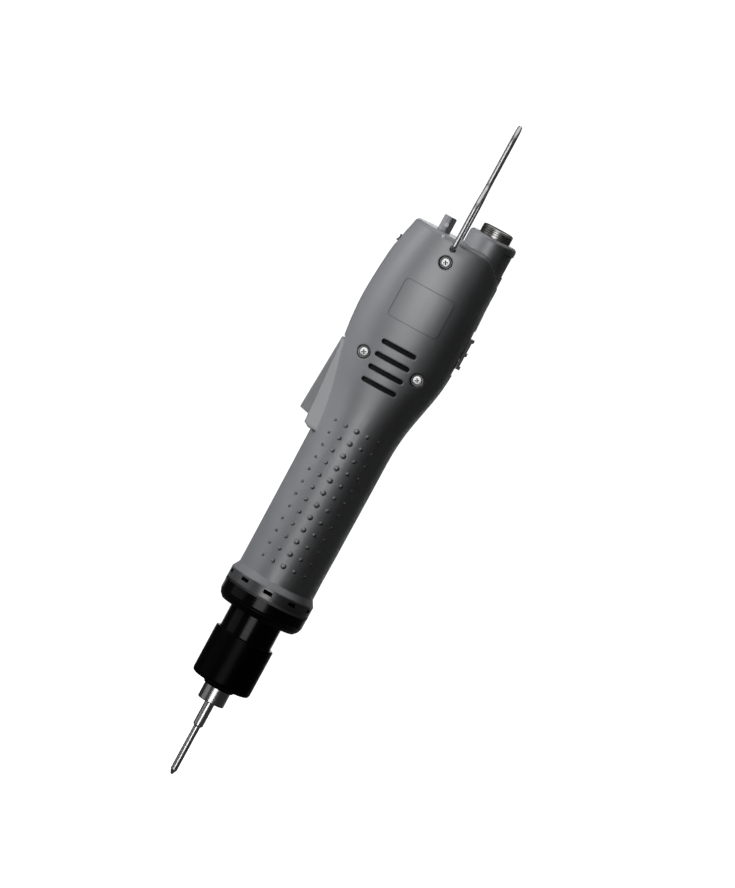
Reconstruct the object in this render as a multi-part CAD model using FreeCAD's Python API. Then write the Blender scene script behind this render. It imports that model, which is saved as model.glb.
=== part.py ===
import FreeCAD, Part
import math
import os
from FreeCAD import Vector

# Electric torque screwdriver, in millimetres.
# The bit tip is the origin and the spindle runs up along Z. The start lever faces -X,
# the direction switch and the cable connector stand at +X, and the housing splits at Y = 0.

# Clearances
running_clearance = 0.05
press_gap = 0.02
thread_clearance = 0.08
face_gap = 0.05
loose_gap = 0.3

# Bit, quick-release sleeve and spindle
bit_reach = 38.5
bit_shaft_diameter = 3.3
bit_shank_diameter = 5.0
bit_shank_exposed = 12.2
bit_shank_chamfer = 0.85
bit_shank_held = 18.0
bit_half_moon_length = 5.0
bit_point_length = 4.7
bit_point_diameter = 1.0
bit_flute_start = 0.85
bit_web = 0.7
lock_ball_diameter = 2.4
lock_ball_rise = 8.0
sleeve_wall = 2.7
sleeve_exposed = 7.6
sleeve_length = 13.5
sleeve_travel = 2.5
sleeve_pocket_depth = 4.1
sleeve_pocket_wall = 0.9
sleeve_ring_pocket = 2.5
spindle_diameter = 8.0
spindle_nose_setback = 0.8
spindle_shoulder_reach = 1.4
spindle_shoulder_height = 2.0
sleeve_stop_gap = 0.1
retaining_ring_rise = 1.45
retaining_ring_height = 0.9
retaining_ring_reach = 0.8
retaining_groove_depth = 0.4
sleeve_spring_wire = 0.7
sleeve_spring_turns = 3.5

# Torque ring and clutch
collar_wall = 1.8
collar_lip_wall = 0.5
collar_lip = 1.9
collar_bevel = 1.4
ring_wall = 1.65
ring_height = 25.0
ring_floor = 3.15
ring_edge_round = 1.8
ring_rim_chamfer = 0.5
seat_flange_height = 2.4
ring_travel_up = 6.0
ring_travel_margin = 0.9
clutch_spring_wire = 2.2
clutch_spring_inner_gap = 0.6
clutch_spring_outer_gap = 0.4
clutch_spring_thickness = 1.6
clutch_spring_turns = 6
clutch_washer_height = 1.65
clutch_ball_diameter = 3.97
clutch_ball_inset = 0.8
clutch_ball_count = 3
clutch_ball_bite = 0.5

# Gear case and nose
neck_exposed = 12.0
nose_wall = 2.85
case_wall = 1.45
case_gap = 0.15
case_floor = 2.8
case_lock_height = 2.4
case_lock_step = 0.9
case_lock_rise = 3.4
bearing_diameter = 12.0
bearing_width = 3.5
bearing_spacing = 7.0
bearing_boss_wall = 1.2
bearing_boss_lip = 0.4
cap_height = 9.1
cap_floor = 2.0
cap_wall = 2.0
cap_bevel_width = 2.6
cap_bevel_height = 4.3
air_ring_height = 6.1
air_ring_web = 1.5
air_slot_count = 10
air_slot_width = 4.5
air_slot_height = 1.8
air_slot_drop = 1.8

# Planetary gears, two stages in one ring gear
gear_module = 0.7
pressure_angle = math.radians(20)
sun_teeth = 12
planet_teeth = 12
planets_per_stage = 3
tooth_slack = 0.1
addendum_share = 0.8
dedendum_share = 1.0
ring_gear_wall = 2.2
ring_gear_flange = 2.0
ring_gear_bore_gap = 1.0
carrier_height = 2.4
carrier_gap = 0.64
output_planet_height = 5.0
input_planet_height = 4.5
planet_pin_diameter = 2.4
gear_gap = 0.3

# Motor
plate_height = 3.0
plate_spigot = 0.6
motor_setback = 0.5
motor_can_length = 36.0
motor_can_wall = 1.0
motor_front_wall = 3.0
motor_shaft_diameter = 3.17
motor_bearing_diameter = 8.0
motor_end_height = 3.0
rotor_diameter = 15.2
rotor_lift = 7.5
rotor_end_room = 6.5
stator_overhang = 1.0
stator_tooth_width = 4.0
stator_yoke = 2.2
stator_slots = 6
stator_gap = 0.5
coil_build = 1.45
coil_inset = 1.0
hall_board_height = 1.4
hall_board_lift = 1.0
motor_screw_inset = 5.5
motor_screw_diameter = 2.5
motor_screw_head = 4.4
motor_rib_height = 1.6
motor_screw_sink = 1.2
hall_post_diameter = 3.0
hall_board_bore = 6.0

# Housing, as sections across the tool above its lower edge
wall = 2.1
flare_height = 4.5
flare_reach = 2.15
handle_length = 60.5
round_fullness = 0.5523
# Each section: rise above the handle, then how far the lever side, the connector side
# and the front stand out past the handle's radius, then the fullness of the corners
head_sections = [
    (0.0, 0.4, 0.25, 0.35, 0.5523),
    (15.0, 0.65, 0.25, 0.25, 0.56),
    (28.0, 1.95, 1.55, 0.35, 0.57),
    (42.0, 4.95, 4.35, 0.75, 0.585),
    (59.0, 8.05, 7.05, 1.25, 0.615),
    (75.0, 9.05, 7.25, 1.55, 0.64),
    (97.0, 7.85, 6.65, 1.05, 0.66),
    (108.0, 6.05, 6.35, 0.45, 0.66),
    (119.4, 3.65, 6.15, -0.35, 0.66),
]
section_spacing = 10.0
hollow_spacing = 20.0
top_round = 2.4
head_shoulder_start = -7.25
head_shoulder_mid = (2.15, 5.6)
head_shoulder_drop = 17.0

# Cable connector and its boss
boss_setback = 5.9
boss_gap = 0.6
boss_rise = 8.4
boss_round = 2.0
boss_depth = 24.0
connector_diameter = 16.0
connector_wall = 1.6
connector_neck_step = 0.3
connector_relief = 0.3
connector_exposed = 4.5
connector_length = 14.5
connector_flange_reach = 1.3
connector_flange_height = 1.5
connector_chamfer = 0.5
socket_depth = 8.8
pin_diameter = 1.0
pin_count = 6
pin_inset = 2.4
pin_exposed = 4.3
pin_tail = 3.0
cover_width = 17.4
cover_height = 10.5
cover_drop = 4.2
cover_thickness = 1.2
cover_inset = 0.4
cover_gap = 0.15

# Start lever and the guard round it
lever_width = 10.4
lever_pivot_reach = 2.75
lever_pivot_rise = 49.4
lever_length = 35.3
lever_pin_diameter = 2.4
lever_pin_ends = 1.6
lever_gap = 0.3
lever_top_rise = 4.3
lever_back = 2.6
lever_top_gap = 1.0
lever_edge_round = 1.2
lever_pocket_wall = 1.6
lever_pocket_drops = (6.0, 19.0)
guard_below_lever = 3.1
guard_above_pivot = 4.2
guard_foot_height = 1.7
guard_foot_step = 2.8
guard_bottom_step = 4.35
guard_top_step = 7.35
guard_flare = 3.4
lever_proud_bottom = 5.2
lever_frame_wall = 1.7
lever_frame_depth = 2.4
lever_swing_room = 4.3
start_switch_lift = 12.9
start_switch_size = (6.0, 6.4, 12.0)
start_switch_gap = 4.4
plunger_diameter = 3.0
plunger_travel = 2.4
lever_spring_lift = 3.3
lever_spring_diameter = 5.0
lever_spring_wire = 0.7
lever_spring_turns = 4
lever_spring_length = 7.4
lever_spring_seat = 0.6
lever_spring_stop_wall = 1.5

# Direction switch
direction_rise = 73.5
direction_height = 15.5
direction_width = 7.0
direction_reach = 8.25
direction_rib = 0.7
direction_rib_height = 1.6
direction_travel = 3.0
direction_pad_reach = 6.65
direction_pad_wall = 3.9
direction_stem_width = 2.6
direction_stem_height = 4.0
direction_body_depth = 5.0
direction_body_width = 8.0
direction_seat_width = 12.0
direction_pad_margin = 0.9
direction_pad_side = 1.2

# High and low speed slide on the slanted wall
speed_drop = 12.4
speed_slant = 13.9
speed_height = 3.3
speed_width = 4.0
speed_proud = 0.95
speed_travel = 1.2
speed_stem_width = 1.6
speed_stem_height = 1.2
speed_pad_depth = 0.3
speed_body_depth = 4.0
speed_seat_depth = 2.6
speed_stem_reach = 1.5
speed_seat_width = 8.0
speed_pad_margin = 0.5
speed_dip_radius = 2.6
speed_dip_depth = 0.4

# Speed dial on top
dial_x = -9.1
dial_diameter = 6.3
dial_exposed = 7.5
dial_flat_distance = 2.5
dial_edge = 0.4
dial_flat_turn = -38.0
dial_body_size = (10.4, 11.0, 5.4)

# Hanging bail
bail_x = -0.7
bail_drop = 4.6
bail_wire_diameter = 2.2
bail_side_gap = 0.6
bail_narrow_width = 17.4
bail_leg = 24.2
bail_shoulder = 8.0
bail_length = 55.0
bail_stub = 5.0
bail_bend = 7.0
bail_end_bend = 2.0

# Vents, housing screws and electronics
vent_count = 4
vent_pitch = 6.6
vent_width = 18.0
vent_height = 2.4
vent_first_rise = 42.3
vent_x = -0.5
screw_spread = 28.2
side_screw_rise = 53.2
top_screw_drop = 11.6
screw_head_diameter = 4.6
screw_head_height = 1.5
screw_recess_diameter = 6.6
screw_sink = 2.1
screw_shank_diameter = 2.9
screw_engagement = 4.6
screw_post_diameter = 6.6
screw_slot_length = 2.8
screw_slot_width = 0.6
screw_slot_depth = 0.7
board_width = 15.0
board_top_gap = 8.5
board_thickness = 1.6
board_rise = 8.0
board_y = 6.0
board_post_diameter = 4.0
board_post_inset = 7.0
capacitor_diameter = 10.0
capacitor_length = 16.0
transistor_size = (4.6, 2.0, 6.0)

# Heights along the tool
sleeve_bottom = bit_reach
sleeve_top = sleeve_bottom + sleeve_length
collar_bottom = sleeve_bottom + sleeve_exposed
ring_bottom = collar_bottom + collar_lip
ring_top = ring_bottom + ring_height
cap_bottom = ring_top + neck_exposed
cap_top = cap_bottom + cap_height
housing_bottom = cap_top + air_ring_height
handle_bottom = housing_bottom + flare_height
handle_top = handle_bottom + handle_length
head_top = handle_top + head_sections[-1][0]
boss_top = head_top + boss_rise
rim_top = boss_top + connector_exposed
seat_bottom = ring_bottom + ring_floor + face_gap
seat_top = seat_bottom + seat_flange_height
nose_bottom = seat_top + ring_travel_up + ring_travel_margin
case_bottom = cap_bottom + cap_floor
case_floor_top = case_bottom + case_floor
ring_gear_bottom = case_floor_top + face_gap
output_carrier_bottom = ring_gear_bottom + ring_gear_flange + gear_gap
output_planet_bottom = output_carrier_bottom + carrier_height + gear_gap
input_carrier_bottom = output_planet_bottom + output_planet_height + gear_gap
input_planet_bottom = input_carrier_bottom + carrier_height + gear_gap
ring_gear_top = input_planet_bottom + input_planet_height + 2 * gear_gap
case_top = ring_gear_top + plate_spigot + face_gap
plate_top = case_top + plate_height
motor_top = plate_top + motor_can_length
motor_end_top = motor_top + motor_end_height
rotor_bottom = plate_top + rotor_lift
rotor_top = motor_top - rotor_end_room
stator_bottom = rotor_bottom - stator_overhang
stator_top = rotor_top + stator_overhang
hall_board_bottom = motor_end_top + hall_board_lift
spindle_bottom = sleeve_bottom + spindle_nose_setback
lock_ball_z = sleeve_bottom + lock_ball_rise
spindle_shoulder_bottom = sleeve_top + sleeve_travel + sleeve_stop_gap
lever_pivot_z = handle_top + lever_pivot_rise

lever_bottom = lever_pivot_z - lever_length
guard_bottom = lever_bottom - guard_below_lever
guard_top = lever_pivot_z + guard_above_pivot
start_switch_z = lever_bottom + start_switch_lift
lever_spring_z = lever_bottom + lever_spring_lift
direction_z = handle_top + direction_rise
speed_z = head_top - speed_drop
bail_z = head_top - bail_drop
side_screw_z = handle_top + side_screw_rise
top_screw_z = head_top - top_screw_drop
board_bottom = handle_top + board_rise
board_top = top_screw_z - screw_post_diameter / 2 - board_top_gap

# Radii from the spindle out to the torque ring
bit_radius = bit_shank_diameter / 2
spindle_radius = spindle_diameter / 2
sleeve_radius = spindle_radius + sleeve_wall
bit_groove_radius = spindle_radius - press_gap - lock_ball_diameter - face_gap
lock_ball_bite = bit_radius - bit_groove_radius
retaining_ring_radius = spindle_radius + retaining_ring_reach
bearing_boss_radius = bearing_diameter / 2 + bearing_boss_wall
clutch_spring_bore = bearing_boss_radius + clutch_spring_inner_gap
clutch_spring_radius = clutch_spring_bore + clutch_spring_wire
nose_bore = clutch_spring_radius + clutch_spring_outer_gap
neck_radius = nose_bore + nose_wall
ring_radius = neck_radius + ring_wall
clutch_ball_orbit = nose_bore - clutch_ball_inset

# Radii from the gears out to the handle
planet_orbit = gear_module * (sun_teeth + planet_teeth) / 2
ring_teeth = sun_teeth + 2 * planet_teeth
ring_pitch_radius = gear_module * ring_teeth / 2
ring_tip_radius = ring_pitch_radius - addendum_share * gear_module
ring_root_radius = ring_pitch_radius + dedendum_share * gear_module
ring_gear_radius = ring_root_radius + ring_gear_wall
carrier_radius = ring_tip_radius - carrier_gap
case_bore = ring_gear_radius + running_clearance
case_radius = case_bore + case_wall
motor_radius = case_radius - motor_setback
motor_screw_orbit = motor_radius - motor_screw_inset
shaft_radius = motor_shaft_diameter / 2
handle_radius = case_radius + case_gap + wall
cap_radius = handle_radius + flare_reach

# Places across the tool that follow the handle
connector_radius = connector_diameter / 2
connector_bore = connector_radius - connector_wall
connector_neck = connector_radius - connector_neck_step
connector_flange = connector_radius + connector_flange_reach
boss_radius = connector_flange + boss_gap + wall
boss_reach = handle_radius - boss_setback
lever_pivot_x = -handle_radius - lever_pivot_reach
lever_inner_x = lever_pivot_x + lever_back
guard_bottom_reach = handle_radius + guard_bottom_step
guard_top_reach = handle_radius + guard_top_step
guard_top_width = lever_width + 2 * lever_gap + 2 * lever_frame_wall
guard_bottom_width = guard_top_width + 2 * guard_flare
start_switch_x = lever_inner_x + start_switch_gap
lever_spring_end = lever_inner_x + lever_spring_length
direction_face = handle_radius + direction_reach
direction_pad = handle_radius + direction_pad_reach
direction_back = direction_pad - direction_pad_wall
far = 100.0


def save(name, shape):
    """Write one node's solids to its own STEP file."""
    shape.exportStep("parts/" + name + ".step")


def rod(radius, bottom, top, x=0.0, y=0.0):
    """Upright cylinder between two heights."""
    return Part.makeCylinder(radius, top - bottom, Vector(x, y, bottom))


def tube(outer, inner, bottom, top, x=0.0, y=0.0):
    """Upright tube between two heights."""
    return rod(outer, bottom, top, x, y).cut(rod(inner, bottom, top, x, y))


def cross_rod(radius, y0, y1, x, z):
    """Cylinder along Y."""
    return Part.makeCylinder(radius, y1 - y0, Vector(x, y0, z), Vector(0, 1, 0))


def side_rod(radius, x0, x1, y, z):
    """Cylinder along X."""
    return Part.makeCylinder(radius, x1 - x0, Vector(x0, y, z), Vector(1, 0, 0))


def block(x0, x1, y0, y1, z0, z1):
    """Box between two corners."""
    return Part.makeBox(x1 - x0, y1 - y0, z1 - z0, Vector(x0, y0, z0))


def turned(profile, x=0.0):
    """Solid of revolution about an upright axis, from (radius, height) corners."""
    points = [Vector(x + r, 0, z) for r, z in profile]
    points.append(points[0])
    face = Part.Face(Part.makePolygon(points))
    return face.revolve(Vector(x, 0, 0), Vector(0, 0, 1), 360)


def rounded_rod(radius, bottom, top, low_round, high_round, x=0.0):
    """Upright cylinder whose edges are rounded by a fillet at either end."""
    solid = rod(radius, bottom, top, x)
    for height, size in ((bottom, low_round), (top, high_round)):
        if size > 0:
            rim = [e for e in solid.Edges if is_ring_at(e, height)]
            solid = solid.makeFillet(size, rim)
    return solid


def is_ring_at(edge, height):
    """True for a closed circular edge that lies flat at a height."""
    box = edge.BoundBox
    return box.ZLength < 1e-3 and abs(box.ZMin - height) < 1e-3 and len(edge.Vertexes) == 1


def prism_xz(corners, y0, y1):
    """Solid with a straight-edged outline in X and Z, from y0 to y1."""
    points = [Vector(x, y0, z) for x, z in corners]
    points.append(points[0])
    return Part.Face(Part.makePolygon(points)).extrude(Vector(0, y1 - y0, 0))


def ring_copies(shape, count, first=0.0):
    """Copies of a shape spread evenly round the spindle axis."""
    copies = []
    for i in range(count):
        copy = shape.copy()
        copy.rotate(Vector(0, 0, 0), Vector(0, 0, 1), first + 360.0 * i / count)
        copies.append(copy)
    return copies


def coil_spring(mean_radius, wire_width, wire_height, bottom, top, turns):
    """Helical spring of flat wire that stands between two heights."""
    height = top - bottom - wire_height
    helix = Part.makeHelix(height / turns, height, mean_radius)
    half = wire_width / 2
    corners = [
        Vector(mean_radius - half, 0, 0),
        Vector(mean_radius + half, 0, 0),
        Vector(mean_radius + half, 0, wire_height),
        Vector(mean_radius - half, 0, wire_height),
    ]
    corners.append(corners[0])
    section = Part.makePolygon(corners)
    spring = Part.Wire(helix.Edges).makePipeShell([section], True, True)
    spring.translate(Vector(0, 0, bottom))
    return spring


def gear_outline(teeth, root_radius, tip_radius, slack):
    """Closed spur gear outline with a tooth on +X, each flank drawn by two chords."""
    pitch = gear_module * teeth / 2
    base = pitch * math.cos(pressure_angle)

    def involute(radius):
        turn = math.acos(min(1.0, base / radius))
        return math.tan(turn) - turn

    half_tooth = math.pi / (2 * teeth) - slack / (2 * pitch)
    points = []
    for tooth in range(teeth):
        centre = 2 * math.pi * tooth / teeth
        flank = []
        for radius in (root_radius, pitch, tip_radius):
            flank.append((radius, half_tooth + involute(pitch) - involute(max(radius, base))))
        for radius, turn in flank:
            angle = centre - turn
            points.append(Vector(radius * math.cos(angle), radius * math.sin(angle), 0))
        for radius, turn in reversed(flank):
            angle = centre + turn
            points.append(Vector(radius * math.cos(angle), radius * math.sin(angle), 0))
    points.append(points[0])
    return Part.Face(Part.makePolygon(points))


def spur_gear(teeth, bottom, height):
    """External spur gear with a tooth on +X."""
    pitch = gear_module * teeth / 2
    root = pitch - dedendum_share * gear_module
    tip = pitch + addendum_share * gear_module
    gear = gear_outline(teeth, root, tip, tooth_slack).extrude(Vector(0, 0, height))
    gear.translate(Vector(0, 0, bottom))
    return gear


def section_wire(height, lever_reach, cable_reach, depth, fullness):
    """Closed section across the housing, made of four smooth quarter curves."""
    quarters = []
    reaches = [(cable_reach, depth), (-lever_reach, depth), (-lever_reach, -depth), (cable_reach, -depth)]
    for across, deep in reaches:
        ends = [
            Vector(across, 0, height),
            Vector(across, fullness * deep, height),
            Vector(fullness * across, deep, height),
            Vector(0, deep, height),
        ]
        if across * deep < 0:
            ends.reverse()
        curve = Part.BezierCurve()
        curve.setPoles(ends)
        quarters.append(curve.toShape())
    return Part.Wire(quarters)


def profile_rows():
    """All sections as (height, lever reach, connector reach, half depth, fullness), from the bottom up."""
    rows = [(housing_bottom, handle_radius, handle_radius, handle_radius, round_fullness)]
    for rise, to_lever, to_connector, to_front, fullness in head_sections:
        reaches = [handle_radius + step for step in (to_lever, to_connector, to_front)]
        rows.append((handle_top + rise, *reaches, fullness))
    return rows


def fair_slope(before, here, after, column):
    """Slope of one column at a row, flat where the column turns round, so that nothing overshoots."""
    lower = (here[column] - before[column]) / (here[0] - before[0])
    upper = (after[column] - here[column]) / (after[0] - here[0])
    if lower * upper <= 0:
        return 0.0
    return 2 * lower * upper / (lower + upper)


def section_sizes(height):
    """Sizes of the housing's section at any height, on smooth curves through the rows."""
    rows = profile_rows()
    index = 0
    while index < len(rows) - 2 and height > rows[index + 1][0]:
        index += 1
    low, high = rows[index], rows[index + 1]
    span = high[0] - low[0]
    share = min(1.0, max(0.0, (height - low[0]) / span))
    sizes = []
    for column in range(1, len(low)):
        chord = (high[column] - low[column]) / span
        start = fair_slope(rows[index - 1], low, high, column) if index > 0 else chord
        end = fair_slope(low, high, rows[index + 2], column) if index + 2 < len(rows) else chord
        weight = share * share * (3 - 2 * share)
        level = low[column] * (1 - weight) + high[column] * weight
        bend = share * (1 - share) * span * (start * (1 - share) - end * share)
        sizes.append(level + bend)
    return sizes


def housing_form(inset, bottom, top, spacing, straight):
    """Form of the handle and head, drawn in by a wall, straight or smooth between sections."""
    count = math.ceil((top - bottom) / spacing)
    wires = []
    for step in range(count + 1):
        height = bottom + (top - bottom) * step / count
        lever_reach, cable_reach, depth, fullness = section_sizes(height)
        wires.append(section_wire(height, lever_reach - inset, cable_reach - inset, depth - inset, fullness))
    return Part.makeLoft(wires, True, straight, False, 3)


def shoulder_cut(inset):
    """What the sloping shoulder beside the connector boss takes off the head."""
    mid_step, mid_drop = head_shoulder_mid
    start_x = handle_radius + head_shoulder_start - inset
    mid_x = handle_radius + mid_step
    start = Vector(start_x, -far, head_top - inset)
    middle = Vector(mid_x - inset, -far, head_top - mid_drop - inset)
    end = Vector(mid_x + mid_drop, -far, head_top - head_shoulder_drop - inset)
    slope = Part.Arc(start, middle, end).toShape()
    above = Vector(start.x, -far, start.z + far)
    outside = Vector(end.x + far, -far, start.z + far)
    low = Vector(end.x + far, -far, end.z)
    edges = [slope, Part.makeLine(end, low), Part.makeLine(low, outside)]
    edges += [Part.makeLine(outside, above), Part.makeLine(above, start)]
    return Part.Face(Part.Wire(edges)).extrude(Vector(0, 2 * far, 0))


def skin_depth(form, x, z):
    """Distance from the split plane to the front skin of a form at one place."""
    line = Part.makeLine(Vector(x, -far, z), Vector(x, 0, z))
    return -form.common(line).BoundBox.YMin


def guard_form():
    """Bulge of the housing that frames the start lever."""
    inner = lever_spring_end
    foot = guard_bottom - guard_foot_height
    levels = [
        (foot, guard_bottom_reach - guard_foot_step, guard_bottom_width),
        (foot + guard_foot_height, guard_bottom_reach, guard_bottom_width),
        (guard_top, guard_top_reach, guard_top_width),
    ]
    solids = []
    for lower, upper in zip(levels, levels[1:]):
        wires = []
        for height, reach, width in (lower, upper):
            half = width / 2
            corners = [(-reach, -half), (inner, -half), (inner, half), (-reach, half), (-reach, -half)]
            wires.append(Part.makePolygon([Vector(x, y, height) for x, y in corners]))
        solids.append(Part.makeLoft(wires, True, True))
    return solids[0].fuse(solids[1]).removeSplitter()


def outer_form():
    """Outside of the closed housing with its flare, guard, shoulder and boss."""
    body = housing_form(0.0, housing_bottom, head_top, section_spacing, False)
    rim = [e for e in body.Edges if e.BoundBox.ZMin > head_top - 0.01]
    body = body.makeFillet(top_round, rim)
    body = body.cut(shoulder_cut(0.0))
    flare_points = [
        Vector(handle_radius - wall / 2, 0, housing_bottom),
        Vector(cap_radius, 0, housing_bottom),
        Vector(handle_radius + 0.25 * (cap_radius - handle_radius), 0, housing_bottom + 0.6 * flare_height),
        Vector(handle_radius - wall / 2, 0, housing_bottom + flare_height + wall / 2),
    ]
    curve = Part.BezierCurve()
    curve.setPoles([flare_points[1], flare_points[2], flare_points[3]])
    edges = [Part.makeLine(flare_points[0], flare_points[1]), curve.toShape()]
    edges.append(Part.makeLine(flare_points[3], flare_points[0]))
    flare = Part.Face(Part.Wire(edges)).revolve(Vector(0, 0, 0), Vector(0, 0, 1), 360)
    boss = rounded_rod(boss_radius, boss_top - boss_depth, boss_top, 0.0, boss_round, boss_reach)
    return body.fuse([flare, boss, guard_form()])


def inner_form():
    """Hollow inside the housing."""
    hollow = housing_form(wall, housing_bottom - 1.0, head_top - wall, hollow_spacing, True)
    hollow = hollow.cut(shoulder_cut(wall))
    boss = rod(boss_radius - wall, boss_top - boss_depth, boss_top - wall, boss_reach)
    return hollow.fuse(boss)


def slanted(shape):
    """Turn and move a shape made for an upright wall at X = 0 onto the slanted lever-side wall."""
    placed = shape.copy()
    placed.rotate(Vector(0, 0, 0), Vector(0, 1, 0), speed_slant)
    placed.translate(speed_wall_point())
    return placed


def speed_wall_point():
    """Point of the slanted wall at the middle of the speed slide."""
    lever_reach = section_sizes(speed_z)[0]
    return Vector(-lever_reach, 0, speed_z)


def lever_outline():
    """Side outline of the start lever."""
    reach = guard_bottom_reach
    return [
        (-reach - lever_proud_bottom, lever_bottom + 1.6),
        (-reach - lever_proud_bottom - 0.1, lever_bottom + 2.9),
        (-guard_top_reach - 0.6, lever_pivot_z + lever_top_rise),
        (lever_inner_x, lever_pivot_z + lever_top_rise - 2.5),
        (lever_inner_x, lever_bottom + 2.0),
        (lever_inner_x - 1.5, lever_bottom + 0.4),
        (-reach, lever_bottom + 0.4),
    ]


def lever_well():
    """Space that the start lever swings in."""
    half = lever_width / 2 + lever_gap
    bottom = lever_bottom - lever_gap
    top = lever_pivot_z + lever_top_rise + lever_top_gap
    well = block(-far, lever_inner_x + lever_gap, -half, half, bottom, top)
    sweep = cross_rod(lever_length + lever_gap, -half, half, lever_pivot_x, lever_pivot_z)
    keep = block(-2 * far, lever_inner_x + lever_swing_room, -half, half, bottom, lever_pivot_z)
    return well.fuse(sweep.common(keep))


def housing_shell(outer, inner):
    """Whole housing before it is split, with its wells, seats, posts and openings."""
    shell = outer.cut(inner)
    half_well = lever_width / 2 + lever_gap + lever_frame_wall
    well_bottom = lever_bottom - lever_gap - lever_frame_wall
    well_top = lever_pivot_z + lever_top_rise + lever_top_gap + lever_frame_wall
    frame = block(-far, lever_inner_x + lever_frame_depth, -half_well, half_well, well_bottom, well_top)
    z = direction_z
    pad_half = direction_height / 2 + direction_travel + direction_pad_margin
    seat_half = direction_seat_width / 2
    direction_seat = block(direction_back, far, -seat_half, seat_half, z - pad_half, z + pad_half)
    speed_pad_half = speed_height / 2 + speed_travel + speed_pad_margin
    seat_half = speed_seat_width / 2
    seat_rise = speed_pad_half + 1.0
    speed_seat = slanted(block(-2.0, speed_seat_depth, -seat_half, seat_half, -seat_rise, seat_rise))
    added = [part.common(outer) for part in (frame, direction_seat, speed_seat)]
    added += motor_ribs() + screw_posts(outer) + board_posts(outer) + switch_supports(outer)
    shell = shell.fuse(added)

    removed = [lever_well()]
    pin_y = lever_width / 2 + lever_pin_ends + press_gap
    pin_radius = lever_pin_diameter / 2 + press_gap
    removed.append(cross_rod(pin_radius, -pin_y, pin_y, lever_pivot_x, lever_pivot_z))
    removed += case_groove()
    removed += direction_openings(z, pad_half)
    removed += speed_openings(speed_pad_half)
    removed.append(rod(dial_diameter / 2 + loose_gap, head_top - 2 * wall, head_top + 1.0, dial_x))
    socket_radius = connector_neck + running_clearance
    removed.append(rod(socket_radius, boss_top - 2 * wall, boss_top + 1.0, boss_reach))
    removed.append(cover_window(0.0, wall + 1.0))
    removed += bail_holes()
    removed += vents()
    removed += screw_holes(outer)
    return shell.cut(removed)


def motor_ribs():
    """Rings inside the handle that hold the motor can."""
    ribs = []
    for share in (0.25, 0.8):
        bottom = plate_top + share * motor_can_length
        outer_radius = handle_radius - wall / 2
        ribs.append(tube(outer_radius, motor_radius + running_clearance, bottom, bottom + motor_rib_height))
    return ribs


def case_groove():
    """Groove in the handle that locks the gear case's collar."""
    bottom = housing_bottom + case_lock_rise - face_gap
    top = bottom + case_lock_height + 2 * face_gap
    return [rod(case_radius + case_lock_step + face_gap, bottom, top)]


def screw_places():
    """Places of the housing screws as (x, z)."""
    return [
        (-screw_spread / 2 - 0.4, side_screw_z),
        (screw_spread / 2 - 0.4, side_screw_z),
        (bail_x, top_screw_z),
    ]


def screw_posts(outer):
    """Posts that run between the shells round each screw."""
    posts = []
    for x, z in screw_places():
        posts.append(cross_rod(screw_post_diameter / 2, -far / 2, far / 2, x, z).common(outer))
    return posts


def screw_seat(outer, x, z):
    """Depth of the face that a screw head sits on."""
    return skin_depth(outer, x, z) - screw_sink


def screw_holes(outer):
    """Recess, clearance hole and threaded hole of each housing screw."""
    holes = []
    for x, z in screw_places():
        seat = screw_seat(outer, x, z)
        holes.append(cross_rod(screw_recess_diameter / 2, -far / 2, -seat, x, z))
        holes.append(cross_rod((screw_shank_diameter + loose_gap) / 2, -seat, 0.0, x, z))
        holes.append(cross_rod(screw_shank_diameter / 2 + press_gap, 0.0, screw_engagement + 0.5, x, z))
    return holes


def board_posts(outer):
    """Posts on the rear shell that carry the control board."""
    posts = []
    for z in (board_bottom + board_post_inset, board_top - board_post_inset):
        post = cross_rod(board_post_diameter / 2, board_y + board_thickness, far / 2, 0.0, z)
        posts.append(post.common(outer))
    return posts


def switch_supports(outer):
    """Rib of the rear shell behind the start switch, and ribs of both shells behind the lever spring."""
    depth_x, width_y, height_z = start_switch_size
    z = start_switch_z
    front = start_switch_x
    cradle = block(front + 0.5, front + depth_x - 0.5, width_y / 2, far / 2, z - 2.0, z + 2.0)
    half = lever_spring_diameter / 2 + lever_spring_seat
    low = lever_spring_z - half
    high = lever_spring_z + half
    back = lever_spring_end + lever_spring_stop_wall
    stop = block(lever_spring_end, back, -far / 2, far / 2, low, high)
    return [cradle.common(outer), stop.common(outer)]


def direction_openings(z, pad_half):
    """Flat pad and stem slot of the direction switch."""
    pad_wide = direction_width / 2 + direction_pad_side
    pad = block(direction_pad, far, -pad_wide, pad_wide, z - pad_half, z + pad_half)
    slot_half = direction_stem_height / 2 + direction_travel + loose_gap
    stem_half = direction_stem_width / 2 + loose_gap
    slot = block(direction_back - 1.0, far, -stem_half, stem_half, z - slot_half, z + slot_half)
    return [pad, slot]


def speed_openings(pad_half):
    """Flat pad and stem slot of the speed slide."""
    pad_wide = speed_width / 2 + speed_pad_margin
    pad = slanted(block(-5.0, speed_pad_depth, -pad_wide, pad_wide, -pad_half, pad_half))
    slot_half = speed_stem_height / 2 + speed_travel + loose_gap
    stem_half = speed_stem_width / 2 + loose_gap
    return [pad, slanted(block(-5.0, 6.0, -stem_half, stem_half, -slot_half, slot_half))]


def cover_window(gap, depth):
    """Curved block at the outside of the boss, as wide and high as the side cover."""
    half = cover_width / 2 - gap
    top = boss_top - cover_drop - gap
    bottom = top - cover_height + 2 * gap
    ring = tube(boss_radius + 3.0, boss_radius - cover_inset - depth, bottom, top, boss_reach)
    return ring.common(block(boss_reach, far, -half, half, bottom, top))


def bail_holes():
    """Holes in both shells for the ends of the bail."""
    radius = bail_wire_diameter / 2 + loose_gap
    inner = bail_half_width() - bail_stub - 1.0
    return [
        cross_rod(radius, inner, far, bail_x, bail_z),
        cross_rod(radius, -far, -inner, bail_x, bail_z),
    ]


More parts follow.
